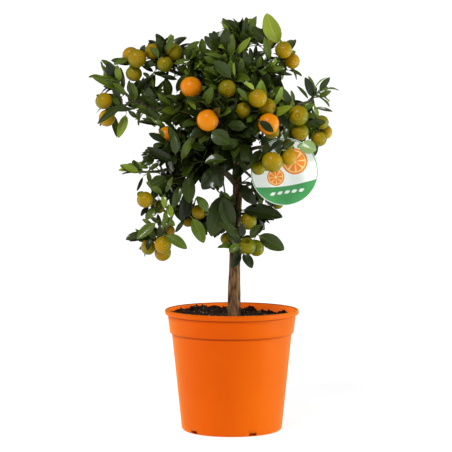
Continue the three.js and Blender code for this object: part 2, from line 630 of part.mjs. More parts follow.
/** Each fruit hangs on a stalk from the stem, which enters it opposite its eye. */
function growFruit(mass) {
  for (const fruit of mass.fruit) {
    fruit.centre = vector(fruit.at);
    const [x, z] = fruit.eye ?? [];
    const eye = fruit.eye ? new THREE.Vector3(x, -Math.sqrt(1 - x * x - z * z), z) : HANGING_EYE;
    fruit.top = eye.clone().normalize().negate();
    const end = fruit.centre.clone().addScaledVector(fruit.top, fruit.across / 2 - STALK_SUNK);
    const root = rootFor(mass, end, shareNear(mass.stem, between(end, mass.centre, 0.3)));
    fruit.stalk = { a: root, b: end, radius: TWIG.radius, neck: TWIG.neck, bears: FRUIT_LEAVES };
    mass.stalks.push(fruit.stalk);
  }
}

/** The furthest leaves of a mass, each on a twig of its own towards its tip. */
function growOutline(mass) {
  for (const [x, y, z, width] of mass.tips) {
    const tip = new THREE.Vector3(x, y, z);
    const root = rootFor(mass, tip, shareFor(mass, tip.clone().sub(mass.centre).normalize()));
    const whole = tip.distanceTo(root);
    const length = Math.min(LEAF.long * Math.max(1, width / LEAF.outlineWidth), whole - TWIG.stem);
    const base = between(tip, root, length / whole);
    const twig = { a: root, b: base, radius: TWIG.radius, neck: TWIG.neck, bears: FRUIT_LEAVES };
    const leaf = leafShape(base, tip, width, facingOf(mass, tip.clone().sub(root).normalize()));
    mass.twigs.push(twig);
    keepLeaf(mass, leaf, twig, true);
  }
}

/** Directions spread evenly over a sphere, however many of them are used. */
function evenDirection(index, start) {
  const height = 1 - 2 * ((start + index * EVEN_STEPS[0]) % 1);
  const angle = 2 * Math.PI * ((start + index * EVEN_STEPS[1]) % 1);
  const flat = Math.sqrt(1 - height * height);
  return new THREE.Vector3(flat * Math.cos(angle), flat * Math.sin(angle), height);
}

/** Twigs leave the stem on all sides until the mass has its leaves. */
function growTwigs(mass) {
  const random = seededRandom(mass.seed);
  const mean = Math.cbrt(mass.size.x * mass.size.y * mass.size.z);
  const wanted = Math.round(LEAVES.count * (mean / LEAVES.size) ** 1.5);
  const start = random();
  for (const twig of mass.twigs.filter((each) => each.bears)) {
    growLeaves(mass, twig, random, true);
  }
  for (let i = 0; i < LEAVES.twigs && mass.leaves.length < wanted; i += 1) {
    const out = evenDirection(i, start);
    const reach = mix(...TWIG.reach, random());
    const end = mass.centre.clone().addScaledVector(out.clone().multiply(mass.size), reach);
    const root = rootFor(mass, end, shareFor(mass, out));
    const twig = { a: root, b: end, radius: TWIG.radius, neck: TWIG.neck, bears: TWIG.leaves };
    const before = mass.leaves.length;
    const free = twigIsFree(mass, twig);
    growLeaves(mass, twig, random, free);
    if (mass.leaves.length < before + TWIG.fewest) mass.leaves.length = before;
    else mass.twigs.push(twig);
  }
}

/** Leaves leave a twig's three sides in turn, and the last one carries on from its end. */
function growLeaves(mass, twig, random, free) {
  const { along } = stickAxes(twig);
  for (let j = 0; j < twig.bears; j += 1) {
    const last = j === TWIG.leaves - 1;
    const side = sideOf(twig, j % 3);
    const spread = last ? TWIG.lastSpread : TWIG.spread * mix(...TWIG.spreads, random());
    const turned = side.clone().applyAxisAngle(along, mix(-TWIG.swing, TWIG.swing, random()));
    const direction = along.clone().multiplyScalar(Math.cos(spread));
    direction.addScaledVector(turned, Math.sin(spread));
    const share = mix(TWIG.firstLeaf, TWIG.lastLeaf, j / (TWIG.leaves - 1));
    const base = last ? twig.b.clone() : seatOn(twig, share, side);
    const full = LEAF.long * mix(...LEAF.lengths, random());
    const lean = direction.clone().add(new THREE.Vector3(random() - 0.5, random() - 0.5, random() - 0.5));
    if (!free) continue;
    const length = Math.min(full, wayOut(mass, base, direction) * 0.98);
    if (length < LEAF.shortest) continue;
    const tip = base.clone().addScaledVector(direction, length);
    const width = LEAF.wide * mix(length, full, 0.4);
    keepLeaf(mass, leafShape(base, tip, width, facingOf(mass, lean)), twig, false);
  }
}

function growMass(mass) {
  mass.twigs = [];
  mass.leaves = [];
  mass.stalks = [];
  growFruit(mass);
  mass.twigs.push(mass.stem, ...mass.stalks);
  growOutline(mass);
  growTwigs(mass);
}

// ---------------------------------------------------------------- solids of a mass

function cornerGeometry(corners, faces) {
  const geometry = new THREE.BufferGeometry();
  geometry.setAttribute('position', new THREE.Float32BufferAttribute(corners.flatMap((p) => p.toArray()), 3));
  return geometry.setIndex(faces);
}

/** A three-sided stick between two points. A twig is narrowest where it is sunk in its stem. */
function stickGeometry({ a, b, radius, neck = 1 }, vary) {
  const { across, third } = stickAxes({ a, b });
  const ring = (end, size) => [0, 1, 2].map((k) => {
    const angle = (2 * Math.PI * k) / 3;
    const corner = end.clone().addScaledVector(across, size * Math.cos(angle));
    return corner.addScaledVector(third, size * Math.sin(angle));
  });
  return cornerGeometry(
    [...ring(a, radius * neck * vary), ...ring(b, radius * TWIG.taper * vary)],
    [0, 2, 1, 3, 4, 5, 0, 1, 4, 0, 4, 3, 1, 2, 5, 1, 5, 4, 2, 0, 3, 2, 3, 5],
  );
}

/** A leaf: its flat outline of six corners, under a low roof that stands for its thickness. */
function leafGeometry({ base, tip, rim, middle, normal }, vary) {
  const root = base.clone().addScaledVector(tip.clone().sub(base).normalize(), -LEAF.sunk);
  const ridge = middle.clone().addScaledVector(normal, LEAF.thick * vary);
  return cornerGeometry(
    [root, ...rim, ridge],
    [0, 1, 6, 1, 2, 6, 2, 3, 6, 3, 4, 6, 4, 5, 6, 5, 0, 6, 0, 5, 1, 5, 2, 1, 5, 4, 2, 4, 3, 2],
  );
}

/** Which way from its centre a fruit's stalk enters it. */
function entryOf({ centre, across, stalk }) {
  const inner = stalk.b.clone().sub(centre);
  const way = stalk.a.clone().sub(stalk.b).normalize();
  const half = inner.dot(way);
  const steps = -half + Math.sqrt(half * half + across * across / 4 - inner.dot(inner));
  return inner.addScaledVector(way, steps).normalize();
}

/** A fruit is a faceted ball, turned so that its stalk enters in the middle of a face. */
function fruitGeometry(fruit, vary) {
  const { around, down } = FRUIT_FACETS;
  const geometry = new THREE.SphereGeometry((fruit.across / 2) * vary, around, down);
  const corners = [1, 2].map((k) => new THREE.Vector3().setFromSphericalCoords(1, Math.PI / down,
    -Math.PI / 2 + (k * 2 * Math.PI) / around));
  const faceMiddle = new THREE.Vector3(0, 1, 0).add(corners[0]).add(corners[1]).normalize();
  const turn = new THREE.Quaternion().setFromUnitVectors(faceMiddle, entryOf(fruit));
  return geometry.applyQuaternion(turn).translate(...fruit.at);
}

function massSolid(mass) {
  let whole = toSolid(stickGeometry(mass.stem, 1));
  for (const twig of mass.twigs.slice(1)) whole = join(whole, stickGeometry, twig, true);
  for (const fruit of mass.fruit) whole = join(whole, fruitGeometry, fruit, true);
  for (const leaf of mass.leaves) whole = join(whole, leafGeometry, leaf, false);
  return mainBody(whole);
}

// ---------------------------------------------------------------- pot, soil and tag

/** Turns a profile of [radius, height] round the pot's axis. */
function turned(profile, segments) {
  const points = profile.map(([radius, height]) => new THREE.Vector2(radius, height));
  return new THREE.LatheGeometry(points, segments).rotateX(Math.PI / 2);
}

function potSolid() {
  const p = POT;
  const rimFoot = p.height - p.rimHeight;
  const outside = [
    [0, 0], [p.bodyFoot - p.corner, 0], [p.bodyFoot - 1.5, 1.5], [p.bodyFoot, p.corner],
    [p.bodyTop, p.collarFootHeight - 2], [p.collarFoot, p.collarFootHeight],
    [p.collarTop, rimFoot], [p.rim - 1, rimFoot + 0.6], [p.rim, rimFoot + 2.5],
    [p.rim, p.height - 2.5], [p.rim - 1.3, p.height],
  ];
  const inside = [
    [p.collarTop - 0.5, p.height], [p.collarTop - p.wall, p.height - 3],
    [p.collarFoot - p.wall, p.collarFootHeight], [p.bodyTop - p.wall, p.collarFootHeight - 3],
    [p.bodyFoot - p.wall, p.corner + p.floor], [p.bodyFoot - p.corner - 1, p.floor], [0, p.floor],
  ];
  let solid = toSolid(turned([...outside, ...inside], p.segments));
  for (let i = 0; i < DRAIN.count; i += 1) {
    const slot = new THREE.BoxGeometry(DRAIN.deep, DRAIN.wide, DRAIN.high);
    slot.translate(POT.bodyFoot, 0, 0).rotateZ(DRAIN.turn + (2 * Math.PI * i) / DRAIN.count);
    solid = solid.subtract(toSolid(slot));
  }
  return solid;
}

/** Lumps on the soil: a few crossed waves, none of them under the trunk. */
function soilHeight(x, y, radius) {
  const away = THREE.MathUtils.smoothstep(radius, SOIL.flatRadius, SOIL.flatRadius + 14);
  const edge = THREE.MathUtils.smoothstep(radius, 40, POT.collarFoot);
  const lump = Math.sin(x * 0.13 + 1.1) * Math.cos(y * 0.11) + 0.6 * Math.sin((x - y) * 0.21);
  const tilt = -x * 0.02;
  return mix(SOIL.level, SOIL.edgeLevel, edge) + away * (SOIL.lump * lump + tilt);
}

function soilSolid() {
  const p = POT;
  const gap = p.wall + CLEAR;
  const rings = [p.collarFoot + 1, 78, 67, 56, 45, 34, SOIL.flatRadius].map((r) => [r - gap, SOIL.level]);
  const profile = [
    [0, p.floor + CLEAR], [p.bodyFoot - p.corner - gap, p.floor + CLEAR],
    [p.bodyFoot - gap, p.corner + p.floor + CLEAR], [p.bodyTop - gap, p.collarFootHeight - 2],
    [p.collarFoot - gap, p.collarFootHeight + 1], ...rings, [0, SOIL.level],
  ];
  const geometry = turned(profile, SOIL.segments);
  const place = geometry.attributes.position;
  for (let i = 0; i < place.count; i += 1) {
    if (place.getZ(i) < SOIL.level - 1) continue;
    const [x, y] = [place.getX(i), place.getY(i)];
    place.setZ(i, soilHeight(x, y, Math.hypot(x, y)));
  }
  return toSolid(geometry);
}

/** The tag is a disc with a small tab on top, and a hole in the tab for its tie. */
function tagSolid() {
  const { radius, thick, tab, tabHeight, hole, holeAt } = TAG;
  const half = Math.asin(tab / radius);
  const outline = new THREE.Shape();
  outline.absarc(0, 0, radius, Math.PI / 2 + half, Math.PI / 2 - half + 2 * Math.PI, false);
  outline.lineTo(tab, radius + tabHeight - 2);
  outline.lineTo(tab - 2, radius + tabHeight);
  outline.lineTo(2 - tab, radius + tabHeight);
  outline.lineTo(-tab, radius + tabHeight - 2);
  const corners = Array.from({ length: 8 }, (_, i) => (-i * Math.PI) / 4);
  const opening = new THREE.Path(corners.map(
    (angle) => new THREE.Vector2(hole * Math.cos(angle), radius + holeAt + hole * Math.sin(angle)),
  ));
  outline.holes.push(opening);
  const settings = { depth: thick, bevelEnabled: false, curveSegments: 20 };
  const geometry = new THREE.ExtrudeGeometry(outline, settings);
  geometry.translate(0, 0, -thick / 2).rotateX(Math.PI / 2).translate(...TAG.at);
  return toSolid(geometry);
}

/** The tie is a ring pulled out into a long loop, through the tab and over the bough. */
function tieSolid() {
  const [x, y, z] = TAG.at;
  const hole = new THREE.Vector3(x, y, z + TAG.radius + TAG.holeAt);
  const up = tieTop.clone().sub(hole);
  const length = up.length() - TIE.bend;
  up.normalize();
  const geometry = new THREE.TorusGeometry(TIE.bend, TIE.radius, 5, 12);
  const place = geometry.attributes.position;
  for (let i = 0; i < place.count; i += 1) {
    if (place.getY(i) > 1e-3) place.setY(i, place.getY(i) + length);
  }
  geometry.translate(0, TIE.bend, 0);
  const across = new THREE.Vector3(1, 0, 0);
  const turn = new THREE.Matrix4().makeBasis(up.clone().cross(across), up, across);
  return toSolid(geometry.applyMatrix4(turn).translate(hole.x, hole.y, hole.z));
}

// ---------------------------------------------------------------- the scene graph

const looks = {
  pot: new THREE.MeshStandardMaterial({ color: 0xeb5f0c, roughness: 0.45, metalness: 0 }),
  soil: new THREE.MeshStandardMaterial({ color: 0x2a1c12, roughness: 1, metalness: 0 }),
  bark: new THREE.MeshStandardMaterial({ color: 0x6b5442, roughness: 0.9, metalness: 0 }),
  leaves: new THREE.MeshStandardMaterial({ color: 0x2f4a1c, roughness: 0.4, metalness: 0 }),
  tag: new THREE.MeshStandardMaterial({ color: 0xf4f4f0, roughness: 0.5, metalness: 0 }),
};

const tree = new THREE.Group();

function addPart(name, solid, look) {
  const mesh = new THREE.Mesh(toGeometry(solid), look);
  mesh.name = name;
  tree.add(mesh);
}

addPart('pot', potSolid(), looks.pot);
addPart('compost', soilSolid(), looks.soil);
addPart('trunk', limbSolid('trunk'), looks.bark);
for (const name of Object.keys(BOUGHS)) addPart(`bough_${name}`, boughSolid(name), looks.bark);
masses.forEach(placeStem);
for (const mass of masses) {
  mass.wood = woodNear(mass);
  growMass(mass);
  addPart(`mass_${mass.name}`, massSolid(mass), looks.leaves);
}
addPart('plant_tag', tagSolid(), looks.tag);
addPart('tag_tie', tieSolid(), looks.tag);

export default tree;
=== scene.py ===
"""A calamondin orange tree in its nursery pot: the looks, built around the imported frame.

The growing is done in millimetres, by the same rule and from the same limbs and masses as the solids, and
is carried on to finer twigs. Every mesh is made in metres, in the frame's own axes. The camera looks along
+Y, with +X to the right.
"""

import math
from types import SimpleNamespace as Sizes

import bpy
import numpy as np
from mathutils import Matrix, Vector, noise
from numpy.linalg import norm


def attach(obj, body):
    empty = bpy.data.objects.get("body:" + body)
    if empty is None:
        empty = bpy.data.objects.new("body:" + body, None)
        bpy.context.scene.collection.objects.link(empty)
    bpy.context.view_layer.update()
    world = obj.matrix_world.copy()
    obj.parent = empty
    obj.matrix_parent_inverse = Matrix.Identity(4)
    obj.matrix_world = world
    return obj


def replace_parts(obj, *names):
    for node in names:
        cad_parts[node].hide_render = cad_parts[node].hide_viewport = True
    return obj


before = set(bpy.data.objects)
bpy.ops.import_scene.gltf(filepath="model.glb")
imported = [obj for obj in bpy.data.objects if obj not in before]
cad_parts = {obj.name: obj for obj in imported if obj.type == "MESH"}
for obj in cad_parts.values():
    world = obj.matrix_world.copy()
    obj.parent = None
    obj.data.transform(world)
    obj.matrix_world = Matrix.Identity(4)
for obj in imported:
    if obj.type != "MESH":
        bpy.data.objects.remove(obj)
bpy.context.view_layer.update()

# ---------------------------------------------------------------- sizes shared with the solids, in mm

MM = 0.001

POT = Sizes(height=172, rim=95, rim_height=7, collar_top=91, collar_foot=88, collar_foot_height=139,
            body_top=85, body_foot=71.5, corner=5, wall=2, floor=2.5)
SOIL = Sizes(level=162.4, flat_radius=22, lump=3.2)

# Limbs are rows of (x, y, z, radius) from foot to tip.
LIMBS = {
    "trunk": [(3, 0, 162.7, 11.5), (3, 0, 185, 9.3), (4, 0, 230, 7.9), (5, -1, 270, 7.4),
              (7, -2, 313, 6.9), (8, -2, 341, 6.6), (7, 0, 369, 6.2), (4, 2, 398, 5.8),
              (2, 4, 426, 5.2), (2, 5, 457, 4.5), (4, 4, 491, 3.6), (9, 4, 522, 2.4)],
    "left": [(4, 2, 395, 4.6), (-25, -4, 429, 4.2), (-59, -12, 444, 3.7), (-94, -14, 454, 3.1),
             (-140, -10, 467, 2.2)],
    "left_high": [(2, 5, 451, 4.0), (-22, 6, 479, 3.6), (-48, 2, 493, 3.2), (-79, -4, 507, 2.7),
                  (-112, -8, 519, 2.0)],
    "top_right": [(2, 5, 465, 3.8), (21, 2, 488, 3.3), (37, -4, 513, 2.8), (54, -6, 527, 2.2)],
    "right": [(3, 4, 423, 4.4), (31, -8, 437, 3.9), (62, -16, 448, 3.4), (90, -14, 460, 2.8),
              (107, -10, 465, 2.2)],
    "right_low": [(7, 0, 361, 4.0), (20, -22, 376, 3.5), (24, -50, 398, 3.0), (45, -70, 405, 2.2)],
    "front": [(6, 2, 383, 4.2), (0, -26, 401, 3.7), (-5, -50, 421, 3.2), (-14, -66, 436, 2.4)],
    "low_left": [(7, -1, 350, 4.4), (-14, -14, 370, 3.9), (-39, -20, 384, 3.5), (-67, -26, 376, 3.0),
                 (-106, -26, 368, 2.2)],
    "hanging": [(-67, -26, 376, 2.6), (-73, -24, 351, 2.4), (-79, -24, 320, 2.1), (-90, -26, 291, 1.8)],
    "back_left": [(3, 4, 431, 4.0), (-14, 30, 451, 3.4), (-31, 54, 462, 2.4)],
    "back_right": [(3, 4, 408, 4.2), (29, 24, 420, 3.6), (48, 46, 430, 2.6)],
    "back": [(4, 2, 385, 4.2), (0, 34, 405, 3.6), (-4, 70, 426, 2.6)],
}

# Each mass of leaves: name, limb, centre, half widths of its ellipsoid, and the ends of its furthest
# leaves as (x, y, z, width of the leaf).
MASSES = [
    ("left_high_outer", "left_high", (-136, -18, 525), (38, 46, 36), [(-116, -10, 550, 12)]),
    ("left_high_inner", "left_high", (-90, -2, 533), (34, 40, 28),
     [(-104, -12, 560, 12), (-83, -6, 561, 13)]),
    ("left_far_top", "left", (-166, -8, 496), (32, 33, 29),
     [(-197, -12, 499, 14), (-178, -6, 522, 16), (-158, -14, 520, 11), (-150, 0, 526, 12)]),
    ("left_far_low", "left", (-166, -14, 449), (32, 36, 40), [(-163, -20, 417, 13), (-180, -10, 420, 12)]),
    ("left_middle", "left", (-119, -6, 470), (32, 41, 41), []),
    ("left_inner", "left_high", (-56, -5, 516), (37, 53, 34), [(-46, -10, 552, 13)]),
    ("left_core", "left", (-67, -38, 460), (37, 53, 40), []),
    ("top_left", "trunk", (-22, -18, 535), (29, 46, 36), [(-39, -20, 562, 17), (-32, -8, 566, 15)]),
    ("top", "trunk", (12, 4, 555), (33, 44, 35),
     [(-13, -6, 578, 12), (-6, 6, 582, 13), (13, 2, 583, 13), (20, -8, 586, 13), (29, 6, 584, 13)]),
    ("top_right", "top_right", (50, -8, 547), (29, 44, 44), [(49, -10, 589, 23), (43, 6, 572, 13)]),
    ("top_outer", "top_right", (80, -8, 526), (26, 34, 34), [(90, -8, 553, 10), (94, -10, 504, 12)]),
    ("upper_core", "trunk", (-8, -48, 496), (41, 52, 39), []),
    ("upper_right", "top_right", (42, -26, 502), (37, 48, 30), [(80, -18, 503, 13)]),
    ("right_tip", "right", (120, -4, 478), (28, 34, 29),
     [(93, -8, 488, 12), (102, 0, 501, 11), (138, -8, 500, 12), (141, 2, 481, 13), (143, -6, 453, 12)]),
    ("right", "right", (91, -22, 443), (29, 46, 39), [(75, -26, 486, 12)]),
    ("right_outer", "right", (126, -8, 428), (29, 44, 37), []),
    ("right_inner", "right", (40, -62, 454), (37, 51, 40), []),
    ("right_low", "right_low", (65, -76, 400), (40, 42, 36), [(119, -60, 397, 18)]),
    ("front", "front", (-27, -86, 446), (41, 48, 40), []),
    ("front_low", "front", (8, -72, 415), (35, 50, 38), []),
    ("core_low", "low_left", (-36, -46, 379), (41, 53, 41), []),
    ("low_left_top", "low_left", (-83, -42, 402), (40, 51, 36),
     [(-117, -46, 423, 13), (-121, -40, 403, 13)]),
    ("low_left_tip", "low_left", (-132, -22, 367), (24, 28, 27),
     [(-154, -22, 376, 13), (-136, -16, 384, 9), (-133, -26, 337, 8)]),
    ("low_left", "low_left", (-92, -34, 351), (38, 48, 31), []),
    ("hanging_top", "hanging", (-113, -28, 320), (28, 37, 29), []),
    ("hanging_foot", "hanging", (-105, -30, 269), (42, 34, 27), [(-148, -28, 273, 10), (-62, -32, 259, 14)]),
    ("hanging_inner", "hanging", (-52, -22, 308), (20, 34, 39), [(-37, -26, 265, 18)]),
    ("trunk_left", "trunk", (-15, -34, 309), (24, 37, 36), [(-27, -40, 278, 25), (-2, -44, 283, 21)]),
    ("trunk_right", "trunk", (44, -22, 306), (31, 32, 18), [(70, -26, 303, 25)]),
    ("trunk_foot", "trunk", (20, -30, 258), (36, 32, 29),
     [(73, -30, 257, 22), (-1, -40, 232, 15), (27, -40, 232, 17)]),
    ("right_under", "right_low", (42, -14, 347), (34, 39, 28), [(22, -20, 323, 17), (50, -20, 322, 17)]),
    ("back_left", "back_left", (-44, 66, 470), (45, 51, 42), []),
    ("back_top", "trunk", (-8, 56, 513), (44, 48, 42), []),
    ("back_right", "back_right", (60, 64, 450), (45, 51, 42), []),
    ("back", "back", (8, 104, 446), (52, 42, 45), []),
    ("back_low", "back", (-42, 64, 396), (45, 48, 40), []),
    ("back_low_right", "back_right", (44, 58, 390), (44, 48, 37), []),
]

HANGING_EYE = (0, -0.25, -0.97)     # which way the scar of a fruit that simply hangs points
TAG = Sizes(at=(73, -45, 369), radius=47, thick=1, tab=5, tab_height=10, hole_at=6)
TIE = Sizes(bend=4.8, radius=0.7, bough="right", steps=48, sides=8)

WALL_GAP = 0.7                       # free space kept on each side of the wall between two masses
FRUIT_ROOM = 1.5                     # the same beside a fruit, as a multiple of that
EVEN_STEPS = (0.7548776662, 0.569840291)       # the steps of the R2 sequence

# ---------------------------------------------------------------- what the photo shows, in mm

# All these places were read from the photo one by one, and turned into the frame's millimetres.

# The fruit of each mass: centre, diameter, ripeness from 0 (green) to 1 (orange), and which way the scar
# at its foot points across the view, where the fruit doesn't simply hang. Those at the back are guessed.
FRUIT = {
    "left_high_outer": [
        ((-142, -6, 531), 24, 0.42), ((-132, -34, 526), 26, 0.32, (-0.27, 0.16)),
        ((-137, -22, 505), 23, 0.2),
    ],
    "left_high_inner": [
        ((-112, -8, 536), 23, 0.4), ((-93, -34, 518), 22, 0.22), ((-80, -20, 535), 24, 0.2, (0, 0.12)),
    ],
    "left_far_low": [((-179, -26, 467), 24, 0.4), ((-175, -22, 443), 24, 0.5)],
    "left_core": [((-56, -66, 486), 30, 1)],
    "front": [((-33, -108, 441), 30, 1, (0, 0.09))],
    "upper_core": [((-7, -82, 484), 25, 0.26, (-0.54, 0.16))],
    "right_inner": [
        ((35, -92, 471), 26, 0.38), ((48, -74, 459), 25, 0.3, (0.56, 0.11)),
        ((15, -78, 454), 22, 0.24, (-0.25, 0.19)), ((50, -92, 436), 29, 1), ((55, -66, 425), 21, 0.35),
    ],
    "right": [((92, -50, 447), 28, 0.28, (0.4, 0.35)), ((95, -40, 424), 24, 0.35)],
    "right_outer": [((126, -18, 437), 20, 0.2), ((132, -2, 423), 20, 0.55), ((122, -24, 414), 22, 0.3)],
    "right_low": [
        ((55, -92, 384), 29, 0.34, (-0.38, 0.05)), ((78, -80, 390), 23, 0.5), ((36, -68, 375), 21, 0.2),
        ((77, -62, 407), 16, 0.15),
    ],
    "hanging_top": [((-121, -46, 330), 23, 0.34), ((-103, -26, 318), 18, 0.4)],
    "hanging_foot": [
        ((-117, -36, 263), 22, 0.38), ((-96, -48, 267), 24, 0.42), ((-97, -24, 254), 24, 0.38),
        ((-90, -16, 284), 20, 0.45),
    ],
    "hanging_inner": [((-46, -34, 312), 21, 0.32), ((-62, -14, 298), 17, 0.3)],
    "low_left_top": [((-91, -62, 421), 22, 0.85)],
    "trunk_right": [((23, -34, 299), 24, 0.25)],
    "trunk_foot": [((21, -46, 265), 25, 0.1), ((34, -26, 261), 24, 0.12), ((-8, -20, 274), 17, 0.25)],
    "right_under": [((65, -6, 323), 18, 0.2)],
    "top_right": [((51, -22, 547), 14, 0.25)],
    "top_outer": [((72, -28, 538), 24, 0.45, (0.4, 0.29)), ((84, -12, 523), 23, 0.5)],
    "back_left": [((-66, 84, 462), 26, 0.3), ((-36, 98, 480), 24, 0.75)],
    "back_top": [((-14, 86, 522), 25, 0.4)],
    "back_right": [((72, 92, 452), 27, 0.9), ((86, 66, 438), 24, 0.2)],
    "back": [((12, 128, 440), 28, 1), ((-10, 120, 462), 24, 0.25)],
    "back_low": [((-54, 88, 386), 25, 0.35)],
    "back_low_right": [((50, 86, 384), 26, 0.8)],
}

DEEP, DARK, MIDDLE, LIGHT, YOUNG, PALE = range(6)
